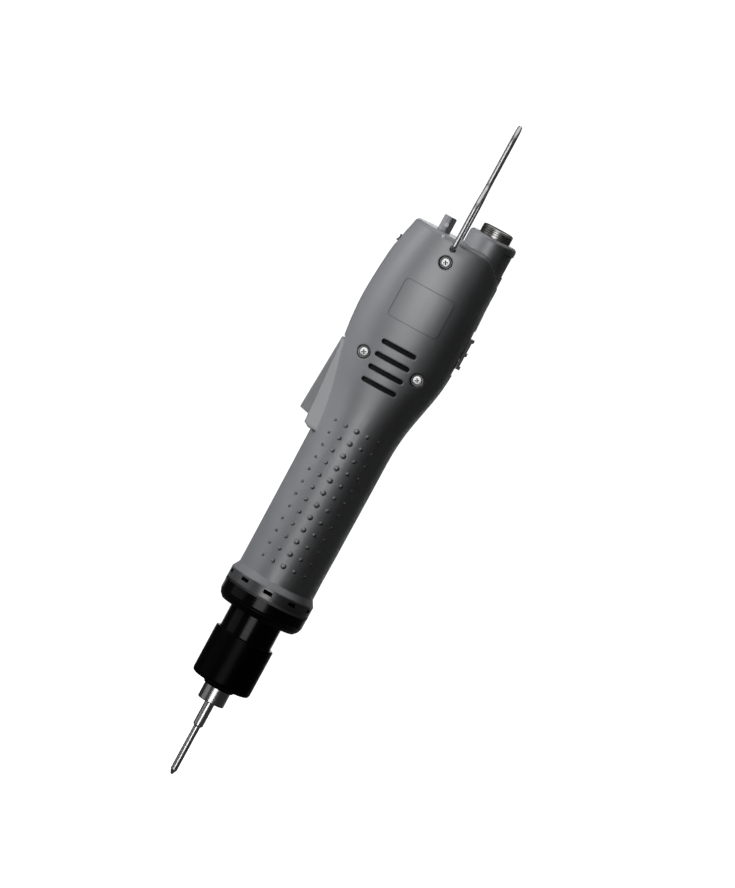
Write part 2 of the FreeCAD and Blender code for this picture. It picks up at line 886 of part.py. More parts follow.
def bail_half_width():
    """Distance from the split plane to the middle of the bail's legs."""
    half_depth = section_sizes(bail_z)[2]
    return half_depth + bail_side_gap + bail_wire_diameter / 2


def vents():
    """Round-ended cooling slots through both shells."""
    slots = []
    half = vent_width / 2 - vent_height / 2
    for i in range(vent_count):
        z = handle_top + vent_first_rise + i * vent_pitch
        for y0, y1 in ((-far, -12.0), (12.0, far)):
            slot = block(vent_x - half, vent_x + half, y0, y1, z - vent_height / 2, z + vent_height / 2)
            ends = [cross_rod(vent_height / 2, y0, y1, vent_x + side * half, z) for side in (-1, 1)]
            slots.append(slot.fuse(ends).removeSplitter())
    return slots


def make_bit():
    """Cross-point bit with a round shank, a ball groove and a half-moon end."""
    top = bit_reach + bit_shank_held
    shank_bottom = bit_reach - bit_shank_exposed
    shaft = bit_shaft_diameter / 2
    groove = bit_groove_radius
    low = lock_ball_z - lock_ball_diameter / 2
    high = lock_ball_z + lock_ball_diameter / 2
    blank = turned([
        (0, 0),
        (bit_point_diameter / 2, 0),
        (shaft, bit_point_length * 0.55),
        (shaft, shank_bottom - bit_shank_chamfer),
        (bit_radius, shank_bottom),
        (bit_radius, low - lock_ball_bite),
        (groove, low),
        (groove, high),
        (bit_radius, high + lock_ball_bite),
        (bit_radius, top),
        (0, top),
    ])
    half_moon = block(0.0, far, -far, far, top - bit_half_moon_length, top + 1.0)
    web = bit_web / 2
    corners = [
        (web, -1.0),
        (bit_flute_start, 0.0),
        (shaft + web, bit_point_length),
        (far, bit_point_length),
        (far, -1.0),
    ]
    flutes = []
    for quarter in range(4):
        flute = prism_xz(corners, web, far)
        flute.rotate(Vector(0, 0, 0), Vector(0, 0, 1), 90.0 * quarter)
        flutes.append(flute)
    return blank.cut(flutes + [half_moon])


def make_spindle():
    """Output spindle with its chuck bore at the nose and the output carrier on top."""
    bore = bit_radius + running_clearance
    shoulder = spindle_radius + spindle_shoulder_reach
    groove_bottom = sleeve_bottom + retaining_ring_rise - face_gap
    groove_top = groove_bottom + retaining_ring_height + 2 * face_gap
    groove_radius = spindle_radius - retaining_groove_depth
    carrier = carrier_radius
    body = turned([
        (0, spindle_bottom),
        (spindle_radius, spindle_bottom),
        (spindle_radius, groove_bottom),
        (groove_radius, groove_bottom),
        (groove_radius, groove_top),
        (spindle_radius, groove_top),
        (spindle_radius, spindle_shoulder_bottom),
        (shoulder, spindle_shoulder_bottom),
        (shoulder, spindle_shoulder_bottom + spindle_shoulder_height),
        (spindle_radius, spindle_shoulder_bottom + spindle_shoulder_height),
        (spindle_radius, output_carrier_bottom),
        (carrier, output_carrier_bottom),
        (carrier, output_carrier_bottom + carrier_height),
        (0, output_carrier_bottom + carrier_height),
    ])
    end = bit_reach + bit_shank_held
    socket = rod(bore, spindle_bottom - 1.0, end - bit_half_moon_length)
    drive = rod(bore, end - bit_half_moon_length, end + face_gap)
    drive = drive.cut(block(running_clearance, far, -far, far, end - far, end + far))
    ball_radius = lock_ball_diameter / 2 + running_clearance
    ball_hole = side_rod(ball_radius, 0.0, spindle_radius + 1.0, 0.0, lock_ball_z)
    pins = ring_copies(planet_pin_hole(output_carrier_bottom), planets_per_stage)
    return body.cut([socket, drive, ball_hole] + pins)


def planet_pin_hole(bottom):
    """Hole through a carrier for one planet pin."""
    return rod(planet_pin_diameter / 2, bottom - 1.0, bottom + carrier_height + 1.0, planet_orbit)


def make_lock_ball():
    """Ball that drops into the bit's groove."""
    ball = Part.makeSphere(lock_ball_diameter / 2)
    ball.translate(Vector(spindle_radius - lock_ball_diameter / 2 - press_gap, 0, lock_ball_z))
    return ball


def make_retaining_ring():
    """Snap ring that stops the sleeve on the spindle nose."""
    bottom = sleeve_bottom + retaining_ring_rise
    inner = spindle_radius - retaining_groove_depth + press_gap
    ring = tube(retaining_ring_radius, inner, bottom, bottom + retaining_ring_height)
    return ring.cut(block(-far, 0.0, -0.9, 0.9, bottom - 1.0, bottom + 2.0))


def make_bit_sleeve():
    """Sliding sleeve with a holding land, a release groove and a spring pocket."""
    land = spindle_radius + running_clearance
    ring_pocket = retaining_ring_radius + loose_gap
    spring_pocket = sleeve_radius - sleeve_pocket_wall
    release = lock_ball_z - sleeve_travel
    half = lock_ball_diameter / 2
    deep = land + lock_ball_bite
    low = sleeve_bottom + sleeve_ring_pocket - face_gap - 0.1
    pocket_bottom = sleeve_top - sleeve_pocket_depth
    return turned([
        (ring_pocket, sleeve_bottom),
        (sleeve_radius - 0.4, sleeve_bottom),
        (sleeve_radius, sleeve_bottom + 0.4),
        (sleeve_radius, sleeve_top),
        (spring_pocket, sleeve_top),
        (spring_pocket, pocket_bottom),
        (land, pocket_bottom),
        (land, release + half),
        (deep, release + half - lock_ball_bite / 2),
        (deep, release - half + lock_ball_bite / 2),
        (land, release - half),
        (land, low),
        (ring_pocket, low),
    ])


def make_sleeve_spring():
    """Spring that holds the sleeve down over the ball."""
    bottom = sleeve_top - sleeve_pocket_depth + face_gap
    mean = spindle_radius + 0.35 + sleeve_spring_wire / 2
    top = spindle_shoulder_bottom - face_gap
    return coil_spring(mean, sleeve_spring_wire, sleeve_spring_wire, bottom, top, sleeve_spring_turns)


def make_spring_seat():
    """Collar and flange that carry the lower end of the clutch spring."""
    bore = sleeve_radius + 0.2
    collar = sleeve_radius + collar_wall
    return turned([
        (bore, collar_bottom),
        (sleeve_radius + collar_lip_wall, collar_bottom),
        (collar, collar_bottom + collar_bevel),
        (collar, seat_bottom),
        (neck_radius - running_clearance, seat_bottom),
        (neck_radius - running_clearance, seat_top),
        (bore, seat_top),
    ])


def make_torque_ring():
    """Black ring that is turned to set the torque."""
    outer = ring_radius
    hole = sleeve_radius + collar_wall + running_clearance
    bore = neck_radius + thread_clearance
    return turned([
        (hole, ring_bottom),
        (outer - ring_edge_round, ring_bottom),
        (outer - 0.3 * ring_edge_round, ring_bottom + 0.3 * ring_edge_round),
        (outer, ring_bottom + ring_edge_round),
        (outer, ring_top - ring_rim_chamfer),
        (outer - ring_rim_chamfer, ring_top),
        (bore, ring_top),
        (bore, ring_bottom + ring_floor),
        (hole, ring_bottom + ring_floor),
    ])


def make_clutch_spring():
    """Heavy spring whose preload sets the torque."""
    mean = clutch_spring_radius - clutch_spring_wire / 2
    bottom = seat_top + face_gap
    top = clutch_washer_top() - clutch_washer_height - face_gap
    return coil_spring(mean, clutch_spring_wire, clutch_spring_thickness, bottom, top, clutch_spring_turns)


def clutch_ball_z():
    """Height of the clutch balls' centres."""
    return case_floor_top + clutch_ball_bite - clutch_ball_diameter / 2


def clutch_washer_top():
    """Height of the washer's face under the clutch balls."""
    return clutch_ball_z() - clutch_ball_diameter / 2 - press_gap


def make_clutch_washer():
    """Washer between the clutch spring and the balls."""
    top = clutch_washer_top()
    inner = bearing_boss_radius + loose_gap
    return tube(nose_bore - 0.2, inner, top - clutch_washer_height, top)


def make_clutch_balls(radius):
    """Balls that ride in the floor of the gear case."""
    ball = Part.makeSphere(radius)
    ball.translate(Vector(clutch_ball_orbit, 0, clutch_ball_z()))
    return ring_copies(ball, clutch_ball_count)


def make_gear_case():
    """Nose, floor and wall of the gear case with its bearing boss and ball holes."""
    boss = bearing_boss_radius
    pocket = bearing_diameter / 2
    boss_bottom = case_floor_top - bearing_width - bearing_spacing - bearing_boss_lip
    body = turned([
        (nose_bore, nose_bottom),
        (neck_radius, nose_bottom),
        (neck_radius, case_bottom),
        (case_radius, case_bottom),
        (case_radius, case_top),
        (case_bore, case_top),
        (case_bore, case_floor_top),
        (pocket, case_floor_top),
        (pocket, boss_bottom),
        (boss, boss_bottom),
        (boss, case_bottom),
        (nose_bore, case_bottom),
    ])
    lock_bottom = housing_bottom + case_lock_rise
    lock = tube(case_radius + case_lock_step, case_bore + 0.5, lock_bottom, lock_bottom + case_lock_height)
    spacer_bottom = case_floor_top - bearing_spacing
    spacer = tube(pocket + 0.5, pocket - 1.0, spacer_bottom, case_floor_top - bearing_width)
    lip = tube(boss - 0.2, pocket - 0.6, boss_bottom, boss_bottom + bearing_boss_lip)
    body = body.fuse([lock, spacer, lip])
    hole_radius = clutch_ball_diameter / 2 + running_clearance
    hole = rod(hole_radius, case_bottom - 1.0, case_floor_top + 1.0, clutch_ball_orbit)
    return body.cut(ring_copies(hole, clutch_ball_count))


def bearing(bore, outside, bottom, width):
    """Ball bearing with recessed shields, as one closed ring."""
    race = (outside - bore) / 8
    dip = width / 8
    return turned([
        (bore / 2, bottom),
        (bore / 2 + race, bottom),
        (bore / 2 + race, bottom + dip),
        (outside / 2 - race, bottom + dip),
        (outside / 2 - race, bottom),
        (outside / 2, bottom),
        (outside / 2, bottom + width),
        (outside / 2 - race, bottom + width),
        (outside / 2 - race, bottom + width - dip),
        (bore / 2 + race, bottom + width - dip),
        (bore / 2 + race, bottom + width),
        (bore / 2, bottom + width),
    ])


def make_spindle_bearings():
    """Two bearings that carry the spindle in the gear case."""
    bore = spindle_diameter + 2 * press_gap
    upper = case_floor_top - bearing_width
    lower = case_floor_top - bearing_spacing - bearing_width
    return Part.makeCompound([bearing(bore, bearing_diameter, z, bearing_width) for z in (lower, upper)])


def make_ring_gear():
    """Ring gear for both stages, with the clutch cam pockets under its flange."""
    blank = rod(ring_gear_radius, ring_gear_bottom, ring_gear_top)
    tooth_bottom = ring_gear_bottom + ring_gear_flange
    space = gear_outline(ring_teeth, ring_tip_radius, ring_root_radius, -tooth_slack)
    turn = Vector(0, 0, 1)
    space.rotate(Vector(0, 0, 0), turn, 180.0 / ring_teeth)
    cut = space.extrude(Vector(0, 0, ring_gear_top - tooth_bottom + 1.0))
    cut.translate(Vector(0, 0, tooth_bottom))
    bore = rod(spindle_radius + ring_gear_bore_gap, ring_gear_bottom - 1.0, ring_gear_top)
    pockets = make_clutch_balls(clutch_ball_diameter / 2 + 0.1)
    return blank.cut([cut, bore] + pockets)


def planet(index, bottom, height):
    """Planet gear at its place in a stage, with a tooth gap towards the sun."""
    gear = spur_gear(planet_teeth, bottom, height)
    gear = gear.cut(rod(planet_pin_diameter / 2 + running_clearance, bottom - 1.0, bottom + height + 1.0))
    gear.rotate(Vector(0, 0, 0), Vector(0, 0, 1), 180.0 / planet_teeth)
    gear.translate(Vector(planet_orbit, 0, 0))
    gear.rotate(Vector(0, 0, 0), Vector(0, 0, 1), 360.0 * index / planets_per_stage)
    return gear


def planet_pins(bottom, height):
    """Pins that stand up from a carrier through its planets."""
    pin = rod(planet_pin_diameter / 2, bottom, bottom + carrier_height + gear_gap + height, planet_orbit)
    return Part.makeCompound(ring_copies(pin, planets_per_stage))


def make_input_carrier():
    """Carrier of the first stage with the sun gear of the second under it."""
    plate = rod(carrier_radius, input_carrier_bottom, input_carrier_bottom + carrier_height)
    sun = spur_gear(sun_teeth, output_planet_bottom, input_carrier_bottom - output_planet_bottom)
    return plate.fuse(sun).cut(ring_copies(planet_pin_hole(input_carrier_bottom), planets_per_stage))


def make_gearbox_plate():
    """Plate that closes the gear case and carries the motor."""
    plate = rod(case_radius, case_top, plate_top)
    spigot = rod(case_bore - running_clearance, case_top - plate_spigot, case_top)
    shaft_hole = rod(motor_bearing_diameter / 2 - 0.8, case_top - 2.0, plate_top + 1.0)
    head_top_z = case_top + motor_screw_sink
    head = rod(motor_screw_head / 2 + 0.1, case_top - 2.0, head_top_z, motor_screw_orbit)
    hole = rod(motor_screw_diameter / 2 + 0.1, case_top - 2.0, plate_top + 1.0, motor_screw_orbit)
    return plate.fuse(spigot).cut([shaft_hole] + ring_copies(head, 2, 90.0) + ring_copies(hole, 2, 90.0))


def make_motor_screws():
    """Screws from the gearbox plate into the motor."""
    seat = case_top + motor_screw_sink
    end = plate_top + motor_front_wall
    head = rod(motor_screw_head / 2, case_top - 0.5, seat, motor_screw_orbit)
    shank = rod(motor_screw_diameter / 2, seat, end, motor_screw_orbit)
    return Part.makeCompound(ring_copies(head.fuse(shank), 2, 90.0))


def make_motor_can():
    """Motor case with its front wall and bearing seat."""
    can = rod(motor_radius, plate_top, motor_top)
    hollow = rod(motor_radius - motor_can_wall, plate_top + motor_front_wall, motor_top + 1.0)
    seat = rod(motor_bearing_diameter / 2, plate_top - 1.0, motor_top)
    hole = rod(motor_screw_diameter / 2 + press_gap, plate_top - 1.0, motor_top, motor_screw_orbit)
    return can.cut([hollow, seat] + ring_copies(hole, 2, 90.0))


def make_stator_core():
    """Laminated stator ring with inward teeth."""
    bottom = stator_bottom
    top = stator_top
    outer = motor_radius - motor_can_wall
    yoke = tube(outer, outer - stator_yoke, bottom, top)
    half = stator_tooth_width / 2
    tooth = block(rotor_diameter / 2, outer - stator_yoke / 2, -half, half, bottom, top)
    core = yoke.fuse(ring_copies(tooth, stator_slots))
    return core.cut(rod(rotor_diameter / 2 + stator_gap, bottom - 1.0, top + 1.0))


def make_stator_windings():
    """One coil round each stator tooth."""
    half = stator_tooth_width / 2
    yoke_inner = motor_radius - motor_can_wall - stator_yoke
    outer_end = math.sqrt(yoke_inner ** 2 - (half + coil_build) ** 2) - 0.1
    inner_end = rotor_diameter / 2 + stator_gap + coil_inset
    low = stator_bottom - coil_build
    high = stator_top + coil_build
    coil = block(inner_end, outer_end, -half - coil_build, half + coil_build, low, high)
    coil = coil.cut(block(inner_end, outer_end, -half, half, stator_bottom, stator_top))
    return Part.makeCompound(ring_copies(coil, stator_slots))


def make_motor_end_cap():
    """Rear wall of the motor with its bearing seat and the posts under the sensor board."""
    cap = rod(motor_radius, motor_top, motor_end_top)
    spigot = rod(motor_radius - motor_can_wall - running_clearance, motor_top - 2.0, motor_top)
    post = rod(hall_post_diameter / 2, motor_end_top - 0.5, hall_board_bottom, motor_radius - 4.0)
    seat = rod(motor_bearing_diameter / 2, motor_top - 3.0, motor_end_top + 1.0)
    return cap.fuse([spigot] + ring_copies(post, 3)).cut(seat)


def make_rotor_bearings():
    """Bearings at both ends of the motor."""
    bore = motor_shaft_diameter + 2 * press_gap
    rings = []
    for bottom in (plate_top, motor_end_top - motor_front_wall):
        rings.append(bearing(bore, motor_bearing_diameter, bottom, motor_front_wall))
    return Part.makeCompound(rings)


def make_hall_board():
    """Sensor board behind the motor."""
    top = hall_board_bottom + hall_board_height
    return tube(motor_radius - 1.0, hall_board_bore / 2, hall_board_bottom, top)


def make_rotor_shaft():
    """Motor shaft from the pinion to the rear bearing."""
    return rod(shaft_radius, input_planet_bottom + 0.1, hall_board_bottom - 0.2)


def make_rotor_magnet():
    """Rotor magnet on the motor shaft."""
    return tube(rotor_diameter / 2, shaft_radius, rotor_bottom, rotor_top)


def make_motor_pinion():
    """Sun gear of the first stage, pressed on the motor shaft."""
    gear = spur_gear(sun_teeth, input_planet_bottom, input_planet_height)
    return gear.cut(rod(shaft_radius, input_planet_bottom - 1.0, ring_gear_top))


def make_front_cap():
    """Black nose cap under the air ring."""
    return turned([
        (neck_radius + running_clearance, cap_bottom),
        (cap_radius - cap_bevel_width, cap_bottom),
        (cap_radius - 0.35 * cap_bevel_width, cap_bottom + 0.42 * cap_bevel_height),
        (cap_radius, cap_bottom + cap_bevel_height),
        (cap_radius, cap_top),
        (cap_radius - cap_wall, cap_top),
        (cap_radius - cap_wall, case_bottom + cap_wall),
        (case_radius + loose_gap, case_bottom),
        (neck_radius + running_clearance, case_bottom),
    ])


def make_air_ring():
    """Ring with air slots between the nose cap and the housing."""
    ring = tube(cap_radius, cap_radius - cap_wall, cap_top, housing_bottom)
    web = tube(cap_radius - cap_wall / 2, case_radius + running_clearance, cap_top, cap_top + air_ring_web)
    z = housing_bottom - air_slot_drop
    half = air_slot_width / 2
    slot = block(-half, half, -far, -case_radius - 1.0, z - air_slot_height / 2, z + air_slot_height / 2)
    return ring.fuse(web).cut(ring_copies(slot, air_slot_count))


def make_start_lever():
    """Start lever that is squeezed into the handle, with a pocket moulded in its inner face."""
    half = lever_width / 2
    body = prism_xz(lever_outline(), -half, half)
    outer_edges = [e for e in body.Edges if is_long_outer(e)]
    body = body.makeFillet(lever_edge_round, outer_edges)
    pin = cross_rod(lever_pin_diameter / 2 + running_clearance, -far, far, lever_pivot_x, lever_pivot_z)
    high, low = [lever_pivot_z - drop for drop in lever_pocket_drops]
    wide = half - lever_pocket_wall
    hollow = block(-guard_bottom_reach - 1.5, 0.0, -wide, wide, low, high)
    return body.cut([pin, hollow])


def is_long_outer(edge):
    """True for the long edges of the lever's outer face."""
    box = edge.BoundBox
    return box.YLength < 1e-6 and box.ZLength > 20.0 and box.XMin < lever_pivot_x - 3.0


def make_lever_pin():
    """Pin that the start lever swings on."""
    half = lever_width / 2 + lever_pin_ends
    return cross_rod(lever_pin_diameter / 2, -half, half, lever_pivot_x, lever_pivot_z)


def make_start_switch():
    """Microswitch behind the start lever."""
    depth_x, width_y, height_z = start_switch_size
    z = start_switch_z
    front = start_switch_x
    body = block(front, front + depth_x, -width_y / 2, width_y / 2, z - height_z / 2, z + height_z / 2)
    return body.cut(side_rod(plunger_diameter / 2 + 0.1, front - 1.0, front + plunger_travel + 2.2, 0.0, z))


def make_start_plunger():
    """Plunger of the start switch."""
    end = start_switch_x + 1.8
    return side_rod(plunger_diameter / 2, lever_inner_x + 0.15, end, 0.0, start_switch_z)


def make_lever_spring():
    """Spring that pushes the start lever out."""
    start = lever_inner_x + face_gap
    end = lever_spring_end - face_gap
    mean = (lever_spring_diameter - lever_spring_wire) / 2
    spring = coil_spring(mean, lever_spring_wire, lever_spring_wire, start, end, lever_spring_turns)
    spring.rotate(Vector(0, 0, 0), Vector(0, 1, 0), 90.0)
    spring.translate(Vector(0, 0, lever_spring_z))
    return spring


def make_direction_knob():
    """Sliding knob of the direction switch, with three grip ribs and a stem."""
    z = direction_z
    half = direction_height / 2
    wide = direction_width / 2
    face = direction_face
    base = block(direction_pad + loose_gap, face, -wide, wide, z - half, z + half)
    rib_places = (-half + direction_rib_height / 2, 0.0, half - direction_rib_height / 2)
    ribs = []
    for rise in rib_places:
        low = z + rise - direction_rib_height / 2
        high = low + direction_rib_height
        ribs.append(block(face - 0.3, face + direction_rib, -wide, wide, low, high))
    stem_half = direction_stem_height / 2
    stem_wide = direction_stem_width / 2
    stem_end = direction_back - 1.8
    stem = block(stem_end, direction_pad + 0.5, -stem_wide, stem_wide, z - stem_half, z + stem_half)
    return base.fuse(ribs + [stem]).removeSplitter()


def make_direction_switch():
    """Slide switch behind the direction knob."""
    z = direction_z
    front = direction_back
    half = direction_stem_height / 2 + direction_travel + 1.2
    wide = direction_body_width / 2
    body = block(front - direction_body_depth, front, -wide, wide, z - half, z + half)
    slot_half = direction_stem_height / 2 + direction_travel + loose_gap
    stem_half = direction_stem_width / 2 + loose_gap
    return body.cut(block(front - 2.2, front + 1.0, -stem_half, stem_half, z - slot_half, z + slot_half))


def make_speed_knob():
    """Small slide for high and low speed, hollowed for a fingertip."""
    half = speed_height / 2
    wide = speed_width / 2
    base = block(-speed_proud, -0.05, -wide, wide, -half, half)
    dip_x = speed_dip_depth - speed_proud - speed_dip_radius
    dip = cross_rod(speed_dip_radius, -wide - 1.0, wide + 1.0, dip_x, 0.0)
    stem_wide = speed_stem_width / 2
    stem_half = speed_stem_height / 2
    stem = block(-0.4, speed_seat_depth + speed_stem_reach, -stem_wide, stem_wide, -stem_half, stem_half)
    return slanted(base.cut(dip).fuse(stem))


def make_speed_switch():
    """Slide switch behind the speed knob."""
    half = speed_stem_height / 2 + speed_travel + 0.9
    body = block(speed_seat_depth, speed_seat_depth + speed_body_depth, -3.0, 3.0, -half, half)
    slot_half = speed_stem_height / 2 + speed_travel + loose_gap
    stem_half = speed_stem_width / 2 + loose_gap
    slot_end = speed_seat_depth + speed_stem_reach + loose_gap
    return slanted(body.cut(block(0.0, slot_end, -stem_half, stem_half, -slot_half, slot_half)))


def make_speed_dial():
    """Stub shaft with a flat that sets the motor speed."""
    radius = dial_diameter / 2
    top = head_top + dial_exposed
    bottom = head_top - wall - dial_body_size[2] + 1.0
    foot = head_top - wall + loose_gap
    edge = dial_edge
    post = turned([(0, foot), (radius, foot), (radius, top - edge), (radius - edge, top), (0, top)])
    stem = rod(radius / 2, bottom, head_top - wall + loose_gap)
    flat = block(dial_flat_distance, far, -far, far, head_top + 0.6, top + 1.0)
    flat.rotate(Vector(0, 0, 0), Vector(0, 0, 1), dial_flat_turn)
    dial = post.fuse(stem).cut(flat)
    dial.translate(Vector(dial_x, 0, 0))
    return dial


def make_dial_body():
    """Potentiometer body under the speed dial."""
    wide_x, wide_y, high = dial_body_size
    top = head_top - wall
    body = block(dial_x - wide_x / 2, dial_x + wide_x / 2, -wide_y / 2, wide_y / 2, top - high, top)
    return body.cut(rod(dial_diameter / 4 + running_clearance, top - high - 1.0, top + 1.0, dial_x))


def make_connector_shell():
    """Metal shell of the cable connector, held by its flange under the boss."""
    flange_top = boss_top - wall
    flange_bottom = flange_top - connector_flange_height
    bottom = rim_top - connector_length
    thread_bottom = boss_top + connector_relief
    return turned([
        (connector_bore, bottom),
        (connector_neck, bottom),
        (connector_neck, flange_bottom),
        (connector_flange, flange_bottom),
        (connector_flange, flange_top),
        (connector_neck, flange_top),
        (connector_neck, thread_bottom),
        (connector_radius, thread_bottom),
        (connector_radius, rim_top - connector_chamfer),
        (connector_radius - connector_chamfer, rim_top),
        (connector_bore, rim_top),
    ], boss_reach)


def make_connector_insert():
    """Insulator that holds the contact pins."""
    bottom = rim_top - connector_length
    disc = rod(connector_bore, bottom, rim_top - socket_depth, boss_reach)
    return disc.cut(connector_pins())


def connector_pins():
    """Contact pins of the cable connector."""
    top = rim_top - socket_depth + pin_exposed
    bottom = rim_top - connector_length - pin_tail
    pins = ring_copies(rod(pin_diameter / 2, bottom, top, connector_bore - pin_inset), pin_count)
    for pin in pins:
        pin.translate(Vector(boss_reach, 0, 0))
    return pins


def make_side_cover():
    """Curved cover beside the cable connector."""
    inside = rod(boss_radius - cover_inset, 0.0, rim_top, boss_reach)
    return cover_window(cover_gap, cover_thickness).common(inside)


def make_housing_screws(outer):
    """Screws that hold the two shells together, with crossed drive recesses."""
    screws = []
    for x, z in screw_places():
        seat = screw_seat(outer, x, z)
        head = cross_rod(screw_head_diameter / 2, -seat - screw_head_height, -seat, x, z)
        shank = cross_rod(screw_shank_diameter / 2, -seat, screw_engagement, x, z)
        face = -seat - screw_head_height
        bottom = face + screw_slot_depth
        arm = screw_slot_length / 2
        half = screw_slot_width / 2
        slots = [
            block(x - arm, x + arm, face - 1.0, bottom, z - half, z + half),
            block(x - half, x + half, face - 1.0, bottom, z - arm, z + arm),
        ]
        screws.append(head.fuse(shank).cut(slots))
    return Part.makeCompound(screws)


def bent_wire(points, radii, thickness):
    """Round wire through corner points, as straight runs joined by an arc at each corner."""
    last = points[0]
    parts = []
    for before, corner, after, radius in zip(points, points[1:], points[2:], radii):
        to_before = (before - corner).normalize()
        to_after = (after - corner).normalize()
        half = to_before.getAngle(to_after) / 2
        run = radius / math.tan(half)
        start = corner + to_before * run
        centre = corner + (to_before + to_after).normalize() * (radius / math.sin(half))
        axis = to_before.cross(to_after)
        parts.append(Part.makeCylinder(thickness / 2, (start - last).Length, last, start - last))
        section = Part.Face(Part.Wire(Part.makeCircle(thickness / 2, start, to_before)))
        parts.append(section.revolve(centre, axis, -180 + math.degrees(2 * half)))
        last = corner + to_after * run
    parts.append(Part.makeCylinder(thickness / 2, (points[-1] - last).Length, last, points[-1] - last))
    return parts


def make_hanging_bail():
    """Wire bail that the tool hangs from."""
    z = bail_z
    half = bail_half_width()
    narrow = bail_narrow_width / 2
    arc_z = z + bail_length
    shoulder_z = z + bail_leg
    parts = []
    for side in (-1, 1):
        corners = [
            Vector(bail_x, side * (half - bail_stub), z),
            Vector(bail_x, side * half, z),
            Vector(bail_x, side * half, shoulder_z),
            Vector(bail_x, side * narrow, shoulder_z + bail_shoulder),
            Vector(bail_x, side * narrow, arc_z),
        ]
        parts += bent_wire(corners, (bail_end_bend, bail_bend, bail_bend), bail_wire_diameter)
    end = Part.Face(Part.Wire(Part.makeCircle(bail_wire_diameter / 2, Vector(bail_x, narrow, arc_z))))
    parts.append(end.revolve(Vector(bail_x, 0, arc_z), Vector(1, 0, 0), 180))
    return parts[0].fuse(parts[1:]).removeSplitter()


def make_control_board():
    """Main circuit board in the head."""
    half = board_width / 2
    return block(-half, half, board_y, board_y + board_thickness, board_bottom, board_top)


def make_board_parts():
    """Smoothing capacitor and power transistors on the control board."""
    radius = capacitor_diameter / 2
    z = board_bottom + 0.62 * (board_top - board_bottom)
    capacitor = rod(radius, z, z + capacitor_length, 0.0, board_y - radius - 0.02)
    across, deep, high = transistor_size
    parts = [capacitor]
    for column in (-1, 1):
        for row in range(3):
            low = board_bottom + 12.0 + row * (high + 2.0)
            x = column * (across / 2 + 1.2)
            parts.append(block(x - across / 2, x + across / 2, board_y - deep, board_y, low, low + high))
    return Part.makeCompound(parts)


def main():
    """Build every node and write it to its own file."""
    os.makedirs("parts", exist_ok=True)
    outer = outer_form()
    shell = housing_shell(outer, inner_form())
    span = 2 * far + boss_top
    save("front_housing", shell.common(block(-far, far, -far, 0.0, 0.0, span)))
    save("rear_housing", shell.common(block(-far, far, 0.0, far, 0.0, span)))
    save("housing_screws", make_housing_screws(outer))

    save("bit", make_bit())
    save("spindle", make_spindle())
    save("lock_ball", make_lock_ball())
    save("sleeve_retaining_ring", make_retaining_ring())
    save("bit_sleeve", make_bit_sleeve())
    save("sleeve_spring", make_sleeve_spring())

    save("spring_seat", make_spring_seat())
    save("torque_ring", make_torque_ring())
    save("clutch_spring", make_clutch_spring())
    save("clutch_washer", make_clutch_washer())
    save("clutch_balls", Part.makeCompound(make_clutch_balls(clutch_ball_diameter / 2)))

    save("gear_case", make_gear_case())
    save("spindle_bearings", make_spindle_bearings())
    save("front_cap", make_front_cap())
    save("air_ring", make_air_ring())
    save("ring_gear", make_ring_gear())
    save("gearbox_plate", make_gearbox_plate())
    for index in range(planets_per_stage):
        save("output_planet_%d" % (index + 1), planet(index, output_planet_bottom, output_planet_height))
        save("input_planet_%d" % (index + 1), planet(index, input_planet_bottom, input_planet_height))
    save("output_planet_pins", planet_pins(output_carrier_bottom, output_planet_height))
    save("input_planet_pins", planet_pins(input_carrier_bottom, input_planet_height))
    save("input_carrier", make_input_carrier())

    save("motor_can", make_motor_can())
    save("motor_screws", make_motor_screws())
    save("stator_core", make_stator_core())
    save("stator_windings", make_stator_windings())
    save("motor_end_cap", make_motor_end_cap())
    save("rotor_bearings", make_rotor_bearings())
    save("rotor_shaft", make_rotor_shaft())
    save("rotor_magnet", make_rotor_magnet())
    save("motor_pinion", make_motor_pinion())
    save("hall_board", make_hall_board())

    save("start_lever", make_start_lever())
    save("lever_pin", make_lever_pin())
    save("lever_spring", make_lever_spring())
    save("start_switch", make_start_switch())
    save("start_switch_plunger", make_start_plunger())
    save("direction_knob", make_direction_knob())
    save("direction_switch", make_direction_switch())
    save("speed_knob", make_speed_knob())
    save("speed_switch", make_speed_switch())
    save("speed_dial", make_speed_dial())
    save("speed_dial_body", make_dial_body())

    save("connector_shell", make_connector_shell())
    save("connector_insert", make_connector_insert())
    save("connector_pins", Part.makeCompound(connector_pins()))
    save("side_cover", make_side_cover())
    save("hanging_bail", make_hanging_bail())
    save("control_board", make_control_board())
    save("control_board_parts", make_board_parts())


main()
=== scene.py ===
from math import atan2, cos, radians, sin, tau

import bpy
from bpy.types import Operator, Panel, PropertyGroup
from mathutils import Matrix, Vector


